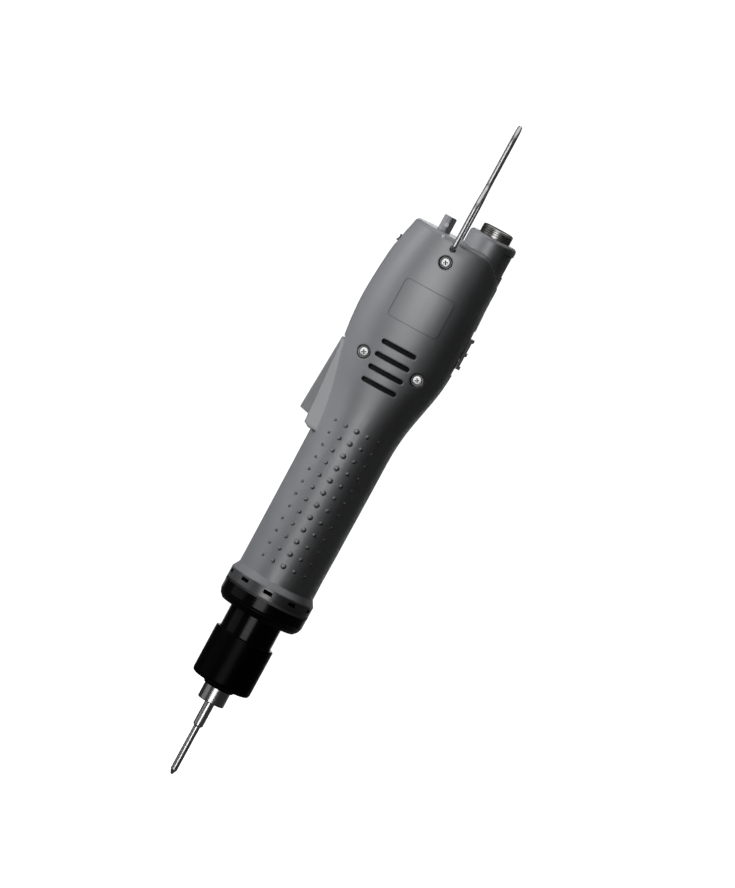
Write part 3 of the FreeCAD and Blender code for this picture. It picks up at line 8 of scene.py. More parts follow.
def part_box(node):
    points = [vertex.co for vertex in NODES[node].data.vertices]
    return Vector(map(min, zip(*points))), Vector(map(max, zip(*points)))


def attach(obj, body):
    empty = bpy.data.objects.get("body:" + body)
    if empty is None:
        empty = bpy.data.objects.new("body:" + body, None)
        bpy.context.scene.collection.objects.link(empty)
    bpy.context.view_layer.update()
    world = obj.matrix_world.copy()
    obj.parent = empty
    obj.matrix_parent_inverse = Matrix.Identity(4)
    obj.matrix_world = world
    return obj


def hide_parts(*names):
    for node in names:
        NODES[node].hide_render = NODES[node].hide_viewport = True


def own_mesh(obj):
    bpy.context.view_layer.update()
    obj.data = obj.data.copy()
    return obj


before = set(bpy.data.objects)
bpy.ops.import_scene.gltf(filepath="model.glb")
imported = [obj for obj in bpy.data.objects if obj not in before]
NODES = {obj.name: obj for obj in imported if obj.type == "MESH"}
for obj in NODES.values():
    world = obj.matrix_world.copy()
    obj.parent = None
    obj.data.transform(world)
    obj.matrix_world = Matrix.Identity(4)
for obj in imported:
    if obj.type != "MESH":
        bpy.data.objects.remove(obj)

bl_info = {
    "name": "Torque Screwdriver Dressing",
    "version": (1, 0, 0),
    "blender": (4, 5, 0),
    "location": "View3D > Sidebar > Screwdriver",
    "description": "Finishes and small pieces of an electric torque screwdriver, with its studio",
    "category": "Object",
}

MM = 0.001
CONNECTOR_LOW, CONNECTOR_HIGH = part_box("connector_shell")
CONNECTOR_X = (CONNECTOR_LOW.x + CONNECTOR_HIGH.x) / 2
BOSS_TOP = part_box("front_housing")[1].z
RING_LOW, RING_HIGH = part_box("air_ring")
RING_RADIUS = (RING_HIGH.x - RING_LOW.x) / 2

# Middle of the front across the tool, top of the black lip and height of the groove
FACE_MIDDLE = -0.0005
LIP_TOP = 0.0952
CASE_GROOVE = 0.0883

# Vents of the shells, the solid land above each, and the dark strips of painted shade below the surface
VENT_COUNT = 4
VENT_FIRST = 0.2075
VENT_PITCH = 0.0066
VENT_LAND = 1.9 * MM
STRIP_SIZE = (17.9 * MM, 1.0 * MM, 2.3 * MM)
STRIP_BELOW = 0.8 * MM

# Slots of the air ring, below its top, and the black pads of painted shade inside them
SLOT_COUNT = 10
SLOT_DROP = 1.8 * MM
PAD_SIZE = (4.3 * MM, 1.1 * MM, 1.6 * MM)
PAD_BELOW = 0.55 * MM

# Cross recess of the screws with the reach and depth of the painted shade on its faces, and where the black
# liners of painted shade in the screw holes meet the shell
RECESS_SIZE = (3.4 * MM, 0.62 * MM, 2.8 * MM)
RECESS_REACH = 1.74 * MM
RECESS_DEPTH = 1.4 * MM
LINER_RIM = 3.6 * MM

# Connector: radius of the thread in millimetres, and the depth and radius of the painted shade inside its
# mouth
THREAD_CREST = 8.0
MOUTH_RADIUS = 6.95 * MM
MOUTH_DEPTH = 4 * MM

# Grip columns: turn from the middle in degrees, then shares of the middle bump's width and height
BUMP_COLUMNS = ((0.0, 1.0, 1.0), (17.0, 0.74, 0.5), (35.0, 0.55, 0.26))
BUMP_TURN = 1.2

# Split of the shells: how flat its edges lie, and how far out the line starts
SPLIT_GAP = 0.002 * MM
SHELL_REACH = 17 * MM

# Rays start outside the tool, and those from the front go inwards
OUTSIDE = 0.06
INWARDS = Vector((0, 1, 0))

# Camera and lights
SENSOR = 36.0
LIGHT_AIM = 0.27
KEY_SPREAD = 58.0


# Sizes and colours

def length(name, description, default, precision=4):
    """Length that a user can change, in metres."""
    return bpy.props.FloatProperty(
        name=name, description=description, default=default, unit="LENGTH", precision=precision,
    )


def angle_value(name, description, degrees):
    """Angle that a user can change."""
    return bpy.props.FloatProperty(
        name=name, description=description, default=radians(degrees), subtype="ANGLE",
    )


def power_value(name, description, default):
    """Power of a light that a user can change, in watts."""
    return bpy.props.FloatProperty(name=name, description=description, default=default, unit="POWER")


def colour_value(name, description, default):
    """Colour that a user can change."""
    return bpy.props.FloatVectorProperty(
        name=name, description=description, subtype="COLOR", size=3, default=default, min=0, max=1,
    )


class ScrewdriverSizes(PropertyGroup):
    """Sizes of the small pieces that dress the tool."""

    bump_rows: bpy.props.IntProperty(
        name="Grip rows", description="Rows of grip bumps up the handle", default=12, min=1,
    )
    bump_first: length("First grip row", "Height of the lowest row", 0.1127)
    bump_pitch: length("Grip pitch", "Distance between rows", 0.0065, 5)
    bump_width: length("Middle bump", "Width of a bump in the middle column", 0.0024)
    bump_height: length("Bump height", "How far a middle bump stands out", 0.00034, 5)
    label_width: length("Field width", "Width of the outlined field on the front", 0.026)
    label_height: length("Field height", "Height of the outlined field", 0.0198)
    label_z: length("Field place", "Height of the middle of the field", 0.2489)
    label_line: length("Outline width", "Width of the line round the field", 0.00032, 5)
    thread_pitch: length("Thread pitch", "Pitch of the connector's outer thread", 0.001)
    thread_depth: length("Thread depth", "Depth of the connector's outer thread", 0.00032, 5)
    dot_width: length("Dot width", "Width of the setting dots by the dial", 0.0022)
    seam_width: length("Parting line", "Width of the line where the shells meet", 0.00022, 5)


class ScrewdriverColours(PropertyGroup):
    """Main colours of the finishes."""

    housing: colour_value("Housing", "Moulded grey of the shells", (0.246, 0.253, 0.268))
    lever: colour_value("Lever", "Moulded grey of the start lever", (0.224, 0.230, 0.244))
    black: colour_value("Black metal", "Black finish of the nose", (0.0022, 0.0022, 0.0024))
    plastic: colour_value("Black plastic", "Moulded black of the slides", (0.008, 0.008, 0.0088))
    steel: colour_value("Steel", "Bright steel", (0.72, 0.72, 0.73))
    dark_steel: colour_value("Dark steel", "Hardened steel of the sleeve", (0.7, 0.7, 0.71))
    mark: colour_value("Dots", "Paint of the setting dots", (0.62, 0.62, 0.62))


class StudioSettings(PropertyGroup):
    """Camera and lights of the studio."""

    lean: angle_value("Lean", "How far the tool leans to the right in the picture", 28.5)
    azimuth: angle_value("Camera azimuth", "Camera turn round the tool", 1.5)
    elevation: angle_value("Camera elevation", "Camera height angle", 4.2)
    distance: length("Camera distance", "From camera to tool", 4.0)
    picture_height: length("Picture height", "Height of the picture at the tool", 0.4146)
    aim_x: length("Aim across", "Middle of the picture, across the tool", 0.00708)
    aim_z: length("Aim up", "Middle of the picture, up the tool", 0.18017)
    key_power: power_value("Key light", "Power of the matt light on the left", 0.7)
    strip_power: power_value("Strip light", "Power of the front light, seen in gloss alone", 14.0)
    panel_power: power_value("Panels", "Power of the side and back panels, seen in gloss alone", 3.2)
    back_power: power_value("Back light", "Power of the matt light behind the tool", 26.0)
    room_level: bpy.props.FloatProperty(
        name="Room light", description="Even light from all round", default=0.2, min=0, max=1,
    )


# Shader expressions

class Signal:
    """A shader socket that works in arithmetic, with one Math node for each operator."""

    def __init__(self, finish, socket):
        self.finish = finish
        self.socket = socket

    def math(self, operation, *others):
        """Math node of this value and up to two more."""
        return self.finish.maths(operation, self, *others)

    def __add__(self, other):
        return self.math("ADD", other)

    def __radd__(self, other):
        return self.finish.maths("ADD", other, self)

    def __sub__(self, other):
        return self.math("SUBTRACT", other)

    def __rsub__(self, other):
        return self.finish.maths("SUBTRACT", other, self)

    def __mul__(self, other):
        return self.math("MULTIPLY", other)

    def __rmul__(self, other):
        return self.finish.maths("MULTIPLY", other, self)

    def __truediv__(self, other):
        return self.math("DIVIDE", other)

    def __pow__(self, other):
        return self.math("POWER", other)

    def __lt__(self, other):
        return self.math("LESS_THAN", other)

    def clamped(self):
        """The same value, held between 0 and 1."""
        return self.math("MAXIMUM", 0.0).math("MINIMUM", 1.0)

    def within(self, span):
        """Share of a span, held between 0 and 1."""
        return (self / span).clamped()


class Finish:
    """The nodes of one procedural material or of the room."""

    def __init__(self, owner):
        self.owner = owner
        owner.use_nodes = True
        self.tree = owner.node_tree
        self.tree.nodes.clear()

    @property
    def place(self):
        """Coordinates of the object, in metres."""
        return self.node("ShaderNodeTexCoord", output="Object")

    def node(self, kind, settings=None, inputs=None, output=0):
        """Add a node, set it up, fill or link its sockets, and return one of its outputs."""
        made = self.tree.nodes.new(kind)
        for key, value in (settings or {}).items():
            setattr(made, key, value)
        for key, value in (inputs or {}).items():
            if isinstance(value, Signal):
                self.tree.links.new(value.socket, made.inputs[key])
            else:
                made.inputs[key].default_value = value
        return Signal(self, made.outputs[output])

    def maths(self, operation, *values):
        """Math node of one to three values."""
        return self.node("ShaderNodeMath", {"operation": operation}, dict(enumerate(values)))

    def stretched(self, x, y, z):
        """Object coordinates stretched along the axes."""
        return self.node("ShaderNodeVectorMath", {"operation": "MULTIPLY"}, {0: self.place, 1: (x, y, z)})

    def noise(self, scale, detail=2.0, place=None, rough=0.5):
        """Noise between about 0.3 and 0.7, with that many features in a metre."""
        inputs = {"Vector": place or self.place, "Scale": scale, "Detail": detail, "Roughness": rough}
        return self.node("ShaderNodeTexNoise", None, inputs)

    def cells(self, scale, randomness=1.0, **settings):
        """Distance from the middle of the nearest cell."""
        inputs = {"Vector": self.place, "Scale": scale, "Randomness": randomness}
        return self.node("ShaderNodeTexVoronoi", {"feature": "F1", **settings}, inputs, "Distance")

    def axis(self, name):
        """One object coordinate."""
        return self.node("ShaderNodeSeparateXYZ", None, {0: self.place}, name)

    def from_middle(self):
        """Distance from the Z axis."""
        across, along = self.axis("X"), self.axis("Y")
        return (across * across + along * along) ** 0.5

    def mix(self, share, first, second):
        """Colour between two colours."""
        return self.node("ShaderNodeMix", {"data_type": "RGBA"}, {0: share, 6: first, 7: second}, 2)

    def bump(self, height, distance, strength=1.0, edge=0.0):
        """Normal with a relief of that depth in metres, on edges that look rounded to that radius."""
        inputs = {"Height": height, "Distance": distance, "Strength": strength}
        if edge:
            inputs["Normal"] = self.node("ShaderNodeBevel", {"samples": 6}, {"Radius": edge})
        return self.node("ShaderNodeBump", None, inputs)

    def surface(self, tint, rough, normal, **others):
        """Close the material with one glossy shader."""
        inputs = {"Base Color": tint, "Roughness": rough, "Normal": normal}
        inputs.update({key.replace("_", " "): value for key, value in others.items()})
        self.close(self.node("ShaderNodeBsdfPrincipled", None, inputs))
        return self.owner

    def close(self, shader, kind="ShaderNodeOutputMaterial"):
        """Link the last shader to the output."""
        made = self.tree.nodes.new(kind)
        self.tree.links.new(shader.socket, made.inputs["Surface"])


def new_finish(name):
    """Nodes of a new material."""
    return Finish(bpy.data.materials.new(name))


def seen_white(finish):
    """1 for rays that look at the background: from the camera, off metal and through glass."""
    kinds = ("Is Camera Ray", "Is Glossy Ray", "Is Transmission Ray")
    camera, glossy, through = [finish.node("ShaderNodeLightPath", output=kind) for kind in kinds]
    return camera.math("MAXIMUM", glossy.math("MAXIMUM", through))


def grey(level):
    """Opaque grey."""
    return (level, level, level, 1.0)


def shade(colour, factor):
    """Colour made lighter or darker, with its alpha."""
    return tuple(min(1.0, channel * factor) for channel in colour) + (1.0,)


def tone(colour, factor):
    """Colour made lighter or darker, without alpha."""
    return shade(colour, factor)[:3]


def moulded_plastic(name, colour, roughness=0.5, grain=1.0, specular=0.35, edge=0.0, ior=1.5, lip=None):
    """Plastic from a spark-eroded mould: fine grain, flow shades, handled patches, black below a lip."""
    finish = new_finish(name)
    fine = finish.noise(5200.0)
    coarse = finish.noise(1700.0, 3.0)
    broad = finish.noise(42.0, 3.0)
    handled = finish.noise(16.0)
    share = (broad * 1.6 - 0.3) + (coarse - 0.5) * 0.35
    tint = finish.mix(share, shade(colour, 0.93), shade(colour, 1.06))
    rough = roughness + (fine - 0.5) * 0.14 + (handled - 0.5) * 0.22
    if lip:
        below = 1.0 - (finish.axis("Z") - lip).within(0.2 * MM)
        tint = finish.mix(below, tint, (0.002, 0.002, 0.0022, 1.0))
        rough = rough + below * 0.3
    normal = finish.bump(fine * 0.65 + coarse * 0.35, 0.05 * MM * grain, 0.55, edge)
    return finish.surface(tint, rough, normal, Specular_IOR_Level=specular, IOR=ior)


def black_metal(name, colour, roughness=0.3, specular=0.5, groove=None, edge=0.0):
    """Turned metal with a black coat: faint tool rings, dull smears, fine scuffs and a cut groove."""
    finish = new_finish(name)
    rings = finish.noise(1.0, 2.0, finish.stretched(40.0, 40.0, 2600.0))
    smear = finish.noise(55.0, 3.0)
    scuff = finish.noise(520.0, 4.0, finish.stretched(1.0, 1.0, 0.3), 0.7)
    worn = (scuff - 0.64).within(0.3) * 0.5
    tint = finish.mix(worn, shade(colour, 1.0), shade(colour, 4.0))
    rough = roughness + (smear - 0.5) * 0.2 + (rings - 0.5) * 0.16
    relief = rings * 0.25
    if groove:
        cut = 1.0 - (finish.axis("Z") - groove).math("ABSOLUTE").within(0.18 * MM)
        rough = rough + cut * 0.4
        relief = relief - cut * 6.0
    normal = finish.bump(relief, 0.02 * MM, 0.6, edge)
    return finish.surface(tint, rough, normal, Specular_IOR_Level=specular)


def turned_steel(name, colour, roughness=0.2, ring_scale=2400.0, ring_depth=0.0008 * MM):
    """Ground or turned steel: rings round the axis, light handling haze and small darker marks."""
    finish = new_finish(name)
    rings = finish.noise(1.0, 2.0, finish.stretched(30.0, 30.0, ring_scale))
    haze = finish.noise(120.0, 3.0)
    marks = finish.noise(480.0, 4.0, None, 0.65)
    dark = (marks - 0.62).within(0.25) * 0.3
    tint = finish.mix(dark + (haze - 0.5) * 0.3 + 0.15, shade(colour, 1.05), shade(colour, 0.7))
    rough = roughness + (haze - 0.5) * 0.14 + (rings - 0.5) * 0.08
    normal = finish.bump(rings, ring_depth, 0.6)
    return finish.surface(tint, rough, normal, Metallic=1.0)


def drawn_wire(name, colour, roughness=0.2):
    """Drawn and polished wire: fine lines along it and patches of haze."""
    finish = new_finish(name)
    lines = finish.noise(1.0, 2.0, finish.stretched(2600.0, 2600.0, 120.0))
    haze = finish.noise(90.0, 3.0)
    tint = finish.mix(haze * 1.5 - 0.25, shade(colour, 0.85), shade(colour, 1.1))
    rough = roughness + (haze - 0.5) * 0.14 + (lines - 0.5) * 0.05
    normal = finish.bump(lines, 0.0005 * MM, 0.3)
    return finish.surface(tint, rough, normal, Metallic=1.0)


def sheet_laminate(name, colour):
    """Stack of thin steel sheets, seen from the side as fine lines."""
    finish = new_finish(name)
    bands = {"wave_type": "BANDS", "bands_direction": "Z"}
    inputs = {"Vector": finish.place, "Scale": 320.0, "Distortion": 0.4}
    sheets = finish.node("ShaderNodeTexWave", bands, inputs)
    dust = finish.noise(400.0, 3.0)
    tint = finish.mix(sheets * 0.6 + dust * 0.4, shade(colour, 0.7), shade(colour, 1.1))
    rough = 0.42 + (dust - 0.5) * 0.3
    normal = finish.bump(sheets, 0.02 * MM, 0.5)
    return finish.surface(tint, rough, normal, Metallic=1.0)


def wound_wire(name, colour):
    """Enamelled copper wire laid turn beside turn."""
    finish = new_finish(name)
    turns = (finish.from_middle() * 12500.0).math("SINE") * 0.5 + 0.5
    enamel = finish.noise(260.0, 3.0)
    tint = finish.mix(turns * 0.7 + enamel * 0.3, shade(colour, 0.45), shade(colour, 1.15))
    rough = 0.28 + enamel * 0.12
    normal = finish.bump(turns, 0.12 * MM, 0.8)
    return finish.surface(tint, rough, normal, Metallic=0.85)


def circuit_board(name, colour):
    """Solder mask over copper: tracks a shade lighter than the bare board, and tinned pads."""
    finish = new_finish(name)
    tracks = ((finish.cells(260.0, distance="MANHATTAN") - 0.42) * 9.0).clamped()
    pads = finish.cells(300.0, 0.35) < 0.16
    weave = finish.noise(2600.0)
    mask = finish.mix(tracks * 0.8 + weave * 0.2, shade(colour, 0.75), shade(colour, 1.5))
    tint = finish.mix(pads, mask, (0.6, 0.6, 0.58, 1.0))
    rough = 0.34 + weave * 0.1
    normal = finish.bump(tracks, 0.03 * MM, 0.6)
    return finish.surface(tint, rough, normal, Specular_IOR_Level=0.5, Metallic=pads * 0.9)


def fired_magnet(name, colour):
    """Sintered magnet: dark, granular and slightly metallic."""
    finish = new_finish(name)
    grit = finish.noise(2300.0, 4.0, None, 0.7)
    patch = finish.noise(140.0)
    tint = finish.mix(grit * 1.4 - 0.2, shade(colour, 0.6), shade(colour, 1.4))
    rough = 0.55 + (patch - 0.5) * 0.3
    normal = finish.bump(grit, 0.04 * MM, 0.6)
    return finish.surface(tint, rough, normal, Metallic=0.4)


def pale_dot_look(name, colour):
    """Pale surface with soft unevenness in colour, roughness and relief."""
    finish = new_finish(name)
    soft = finish.noise(900.0)
    tint = finish.mix(soft * 1.5 - 0.25, shade(colour, 0.86), shade(colour, 1.08))
    rough = 0.3 + soft * 0.2
    normal = finish.bump(soft, 0.04 * MM, 0.5)
    return finish.surface(tint, rough, normal, Specular_IOR_Level=0.5)


def outward(angle):
    """Level direction away from the Z axis."""
    return Vector((cos(angle), sin(angle), 0))


def towards_viewer(azimuth, elevation):
    """Direction from the tool to a camera or a light in front of it."""
    level = cos(elevation)
    return Vector((sin(azimuth) * level, -cos(azimuth) * level, sin(elevation)))


# Modelling by hand operations

def leave_edit():
    """Back to object mode, where code can read and mark faces and edges."""
    bpy.ops.object.mode_set(mode="OBJECT")


def clear_selection():
    """Leave edit mode with nothing selected."""
    if bpy.context.mode != "OBJECT":
        leave_edit()
    bpy.ops.object.select_all(action="DESELECT")


def take(piece):
    """Select one object alone and make it active."""
    clear_selection()
    piece.select_set(True)
    bpy.context.view_layer.objects.active = piece
    return piece


def edit(piece, mode="VERT", select="SELECT"):
    """Open one object in edit mode with all or nothing selected."""
    take(piece)
    bpy.ops.object.mode_set(mode="EDIT")
    bpy.ops.mesh.select_mode(type=mode)
    bpy.ops.mesh.select_all(action=select)
    return piece


def edit_chosen(piece, mode, chosen):
    """Open one object in edit mode with the faces or edges selected that pass a test."""
    edit(piece, mode, "DESELECT")
    leave_edit()
    for part in piece.data.polygons if mode == "FACE" else piece.data.edges:
        part.select = chosen(part)
    bpy.ops.object.mode_set(mode="EDIT")
    return piece


def ends_of(edge, mesh):
    """Places of an edge's two ends."""
    return [mesh.vertices[index].co for index in edge.vertices]


def name_piece(name):
    """Name the active object, which was just made."""
    piece = bpy.context.object
    piece.name = name
    piece.data.name = name
    return piece


def new_piece(name, kind, **settings):
    """Add a primitive, as a start for other operations."""
    clear_selection()
    getattr(bpy.ops.mesh, "primitive_%s_add" % kind)(**settings)
    return name_piece(name)


def settle(piece):
    """Move the object's place, turn and size into its mesh."""
    take(piece)
    bpy.ops.object.transform_apply(location=True, rotation=True, scale=True)
    return piece


def block(name, size, place=(0, 0, 0)):
    """Block of that size in metres, as a start for other operations."""
    piece = new_piece(name, "cube", size=1.0, location=place)
    piece.scale = size
    return settle(piece)


def tidy_mesh(piece, gap=0.004 * MM):
    """Merge doubles, close open ends and turn all faces outwards."""
    edit(piece)
    bpy.ops.mesh.remove_doubles(threshold=gap)
    bpy.ops.mesh.select_all(action="SELECT")
    bpy.ops.mesh.fill_holes(sides=0)
    bpy.ops.mesh.select_all(action="SELECT")
    bpy.ops.mesh.normals_make_consistent(inside=False)
    leave_edit()
    return piece


def smooth(piece, degrees=35.0):
    """Smooth shading with sharp edges kept."""
    take(piece)
    bpy.ops.object.shade_smooth_by_angle(angle=radians(degrees))
    return piece


def use_modifier(piece, kind, **settings):
    """Add one modifier, set it and apply it."""
    take(piece)
    bpy.ops.object.modifier_add(type=kind)
    modifier = piece.modifiers[-1]
    for key, value in settings.items():
        setattr(modifier, key, value)
    bpy.ops.object.modifier_apply(modifier=modifier.name)
    return piece


def join_pieces(pieces, name):
    """Join several pieces into the first."""
    clear_selection()
    for piece in pieces:
        piece.select_set(True)
    bpy.context.view_layer.objects.active = pieces[0]
    bpy.ops.object.join()
    return name_piece(name)


def turned_piece(name, profile, sides, across=MM, up=MM):
    """Round piece about Z, grown from one circle by extruding and resizing ring after ring."""
    rings = [(radius * across, height * up) for radius, height in profile]
    radius, height = rings[0]
    piece = edit(new_piece(name, "circle", vertices=sides, radius=radius, location=(0, 0, height)))
    for (radius, height), (next_radius, next_height) in zip(rings, rings[1:]):
        step = (0, 0, next_height - height)
        bpy.ops.mesh.extrude_region_move(TRANSFORM_OT_translate={"value": step})
        share = next_radius / radius
        bpy.ops.transform.resize(value=(share, share, 1.0), center_override=(0, 0, next_height))
    leave_edit()
    return tidy_mesh(settle(piece))


def copy_of(piece):
    """Copy with a mesh of its own."""
    copy = piece.copy()
    copy.data = piece.data.copy()
    bpy.context.scene.collection.objects.link(copy)
    return copy


def copy_of_node(node, name):
    """Free copy of a CAD node with its loose triangles merged."""
    copy = copy_of(NODES[node])
    copy.parent = None
    copy.name = name
    for key in list(copy.keys()):
        del copy[key]
    edit(copy)
    bpy.ops.mesh.remove_doubles(threshold=0.002 * MM)
    leave_edit()
    return copy


def surface_point(node, start, direction):
    """Place and outward normal where a straight line first meets a CAD node."""
    hit, place, normal, _ = NODES[node].ray_cast(start, direction)
    if not hit:
        raise RuntimeError("nothing on %s in front of %s" % (node, tuple(start)))
    return place, normal


def screw_places(reach=6 * MM):
    """Middle of each housing screw as X and Z; vertices within reach belong to one screw."""
    groups = []
    for vertex in NODES["housing_screws"].data.vertices:
        point = vertex.co.xz
        for group in groups:
            if max(map(abs, group[0] - point)) < reach:
                group.append(point)
                break
        else:
            groups.append([point])
    return [[(min(values) + max(values)) / 2 for values in zip(*group)] for group in groups]


def stand_on(piece, place, normal):
    """Put a piece modelled on Z onto a surface and settle it."""
    turn = Vector((0, 0, 1)).rotation_difference(normal)
    piece.matrix_world = Matrix.Translation(place) @ turn.to_matrix().to_4x4()
    return settle(piece)


def dress(piece, material, body):
    """Give a new piece its material and body."""
    piece.data.materials.clear()
    piece.data.materials.append(material)
    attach(piece, body)
    return piece


def paint_nodes(material, *names):
    """Give CAD nodes a material."""
    for name in names:
        mesh = NODES[name].data
        mesh.materials.clear()
        mesh.materials.append(material)


# Operators

class SCREWDRIVER_OT_housing_finish(Operator):
    """Moulded finish of the two shells and what belongs to them"""

    bl_idname = "screwdriver.housing_finish"
    bl_label = "Housing finish"

    def execute(self, context):
        colours = context.scene.screwdriver_colours
        shell = moulded_plastic(
            "housing_grey", colours.housing, roughness=0.38, specular=0.6, edge=1.0 * MM, ior=1.8,
        )
        ring = moulded_plastic(
            "ring_grey", tone(colours.housing, 0.3), roughness=0.32, grain=0.5, specular=0.65, edge=0.2 * MM,
            ior=1.8, lip=LIP_TOP,
        )
        lever = moulded_plastic(
            "lever_grey", colours.lever, roughness=0.4, grain=0.8, specular=0.5, edge=0.4 * MM, ior=1.6,
        )
        dial = moulded_plastic(
            "dial_grey", tone(colours.lever, 1.35), roughness=0.4, grain=0.6, specular=0.5, edge=0.2 * MM,
            ior=1.6,
        )
        paint_nodes(shell, "front_housing", "rear_housing", "side_cover")
        paint_nodes(ring, "air_ring")
        paint_nodes(lever, "start_lever")
        paint_nodes(dial, "speed_dial")
        return {"FINISHED"}


class SCREWDRIVER_OT_nose_finish(Operator):
    """Black coated metal of the nose and black plastic of the slides"""

    bl_idname = "screwdriver.nose_finish"
    bl_label = "Nose and slide finish"

    def execute(self, context):
        colours = context.scene.screwdriver_colours
        ring = black_metal("ring_black", colours.black, roughness=0.3, specular=0.05, edge=0.3 * MM)
        case = black_metal(
            "case_black", colours.black, roughness=0.19, specular=0.22, groove=CASE_GROOVE, edge=0.3 * MM,
        )
        slides = moulded_plastic(
            "slide_black", colours.plastic, roughness=0.42, grain=0.7, specular=0.4, edge=0.15 * MM,
        )
        paint_nodes(ring, "torque_ring", "spring_seat")
        paint_nodes(case, "gear_case", "front_cap")
        paint_nodes(slides, "direction_knob", "speed_knob", "connector_insert")
        return {"FINISHED"}


class SCREWDRIVER_OT_steel_finish(Operator):
    """Steel of the bit, sleeve, springs and bail"""

    bl_idname = "screwdriver.steel_finish"
    bl_label = "Steel finish"

    def execute(self, context):
        colours = context.scene.screwdriver_colours
        paint_nodes(turned_steel("bit_steel", tone(colours.steel, 1.3), 0.24), "bit")
        paint_nodes(turned_steel("sleeve_steel", colours.dark_steel, 0.22), "bit_sleeve")
        paint_nodes(drawn_wire("bail_wire", tone(colours.steel, 0.95), 0.4), "hanging_bail")
        springs = drawn_wire("spring_wire", tone(colours.steel, 0.7), 0.3)
        paint_nodes(springs, "clutch_spring", "sleeve_spring", "lever_spring")
        return {"FINISHED"}


class SCREWDRIVER_OT_inner_finish(Operator):
    """Finishes of the gear train, the motor and the electronics"""

    bl_idname = "screwdriver.inner_finish"
    bl_label = "Inner finishes"

    def execute(self, context):
        colours = context.scene.screwdriver_colours
        planets = ["%s_planet_%d" % (stage, index) for stage in ("input", "output") for index in range(1, 4)]
        ground = turned_steel("ground_steel", colours.steel, 0.22)
        cut = turned_steel("gear_steel", tone(colours.steel, 0.85), 0.3, 1800.0, 0.004 * MM)
        motor = black_metal("motor_black", tone(colours.black, 3.0), 0.4)
        packages = moulded_plastic("package_black", (0.02, 0.02, 0.022), 0.38, 0.8, 0.5)
        plunger = moulded_plastic("plunger_cream", (0.55, 0.50, 0.40), 0.4, 0.6)
        board = circuit_board("board_mask", (0.003, 0.024, 0.012))
        paint_nodes(
            ground, "spindle", "lock_ball", "sleeve_retaining_ring", "clutch_balls", "clutch_washer",
            "spindle_bearings", "rotor_bearings", "rotor_shaft", "lever_pin", "output_planet_pins",
            "input_planet_pins",
        )
        paint_nodes(cut, "ring_gear", "gearbox_plate", "input_carrier", "motor_pinion", *planets)
        paint_nodes(motor, "motor_can", "motor_end_cap")
        paint_nodes(turned_steel("plated_screw", colours.steel, 0.2), "motor_screws", "housing_screws")
        paint_nodes(sheet_laminate("stator_sheets", (0.42, 0.42, 0.43)), "stator_core")
        paint_nodes(wound_wire("copper_wire", (0.72, 0.30, 0.12)), "stator_windings")
        paint_nodes(fired_magnet("rotor_magnet", (0.11, 0.11, 0.12)), "rotor_magnet")
        paint_nodes(board, "hall_board", "control_board")
        paint_nodes(
            packages, "control_board_parts", "start_switch", "direction_switch", "speed_switch",
            "speed_dial_body",
        )
        paint_nodes(plunger, "start_switch_plunger")
        paint_nodes(turned_steel("gold_plate", (0.85, 0.6, 0.22), 0.18), "connector_pins")
        return {"FINISHED"}


def grip_bump(width, height):
    """One low dome whose foot runs out into the handle."""
    profile = (
        (1.3, -0.3), (1.16, 0.0), (1.02, 0.14), (0.88, 0.37), (0.7, 0.64), (0.48, 0.86), (0.24, 0.97),
        (0.01, 1.0),
    )
    return turned_piece("grip_bump", profile, 18, width / 2, height)


class SCREWDRIVER_OT_grip_bumps(Operator):
    """Rows of round bumps that make the handle easier to hold"""

    bl_idname = "screwdriver.grip_bumps"
    bl_label = "Grip bumps"

    def execute(self, context):
        sizes = context.scene.screwdriver_sizes
        material = NODES["front_housing"].data.materials[0]
        for node, facing in (("front_housing", -90.0), ("rear_housing", 90.0)):
            bumps = []
            for turn, width_share, height_share in BUMP_COLUMNS:
                pattern = grip_bump(sizes.bump_width * width_share, sizes.bump_height * height_share)
                for side in sorted({turn, -turn}):
                    away = outward(radians(facing + side + BUMP_TURN))
                    for row in range(sizes.bump_rows):
                        height = sizes.bump_first + row * sizes.bump_pitch
                        start = away * OUTSIDE + Vector((0, 0, height))
                        place, normal = surface_point(node, start, -away)
                        bumps.append(stand_on(copy_of(pattern), place, normal))
                bpy.data.objects.remove(pattern)
            piece = smooth(join_pieces(bumps, "grip_bumps_" + node.split("_")[0]), 60.0)
            dress(piece, material, "housing")
        return {"FINISHED"}


class SCREWDRIVER_OT_label_outline(Operator):
    """Fine printed outline of the blank field on the front shell"""

    bl_idname = "screwdriver.label_outline"
    bl_label = "Field outline"

    def execute(self, context):
        sizes = context.scene.screwdriver_sizes
        outline = new_piece(
            "field_outline", "plane", size=1.0, location=(FACE_MIDDLE, -0.05, sizes.label_z),
            rotation=(radians(90), 0, 0),
        )
        outline.scale = (sizes.label_width, sizes.label_height, 1.0)
        edit(settle(outline))
        bpy.ops.mesh.bevel(offset=2.1 * MM, offset_type="OFFSET", segments=8, affect="VERTICES")
        bpy.ops.mesh.select_all(action="SELECT")
        bpy.ops.mesh.subdivide(number_cuts=9)
        bpy.ops.mesh.select_all(action="SELECT")
        bpy.ops.mesh.inset(thickness=sizes.label_line, depth=0.0)
        bpy.ops.mesh.delete(type="FACE")
        leave_edit()
        use_modifier(
            outline, "SHRINKWRAP", target=NODES["front_housing"], wrap_method="PROJECT",
            use_project_y=True, use_positive_direction=True, use_negative_direction=True, offset=0.03 * MM,
        )
        use_modifier(outline, "SOLIDIFY", thickness=0.12 * MM, offset=0.0)
        smooth(outline, 60.0)
        ink = moulded_plastic("print_grey", (0.165, 0.165, 0.172), 0.45, 0.4)
        dress(outline, ink, "housing")
        return {"FINISHED"}


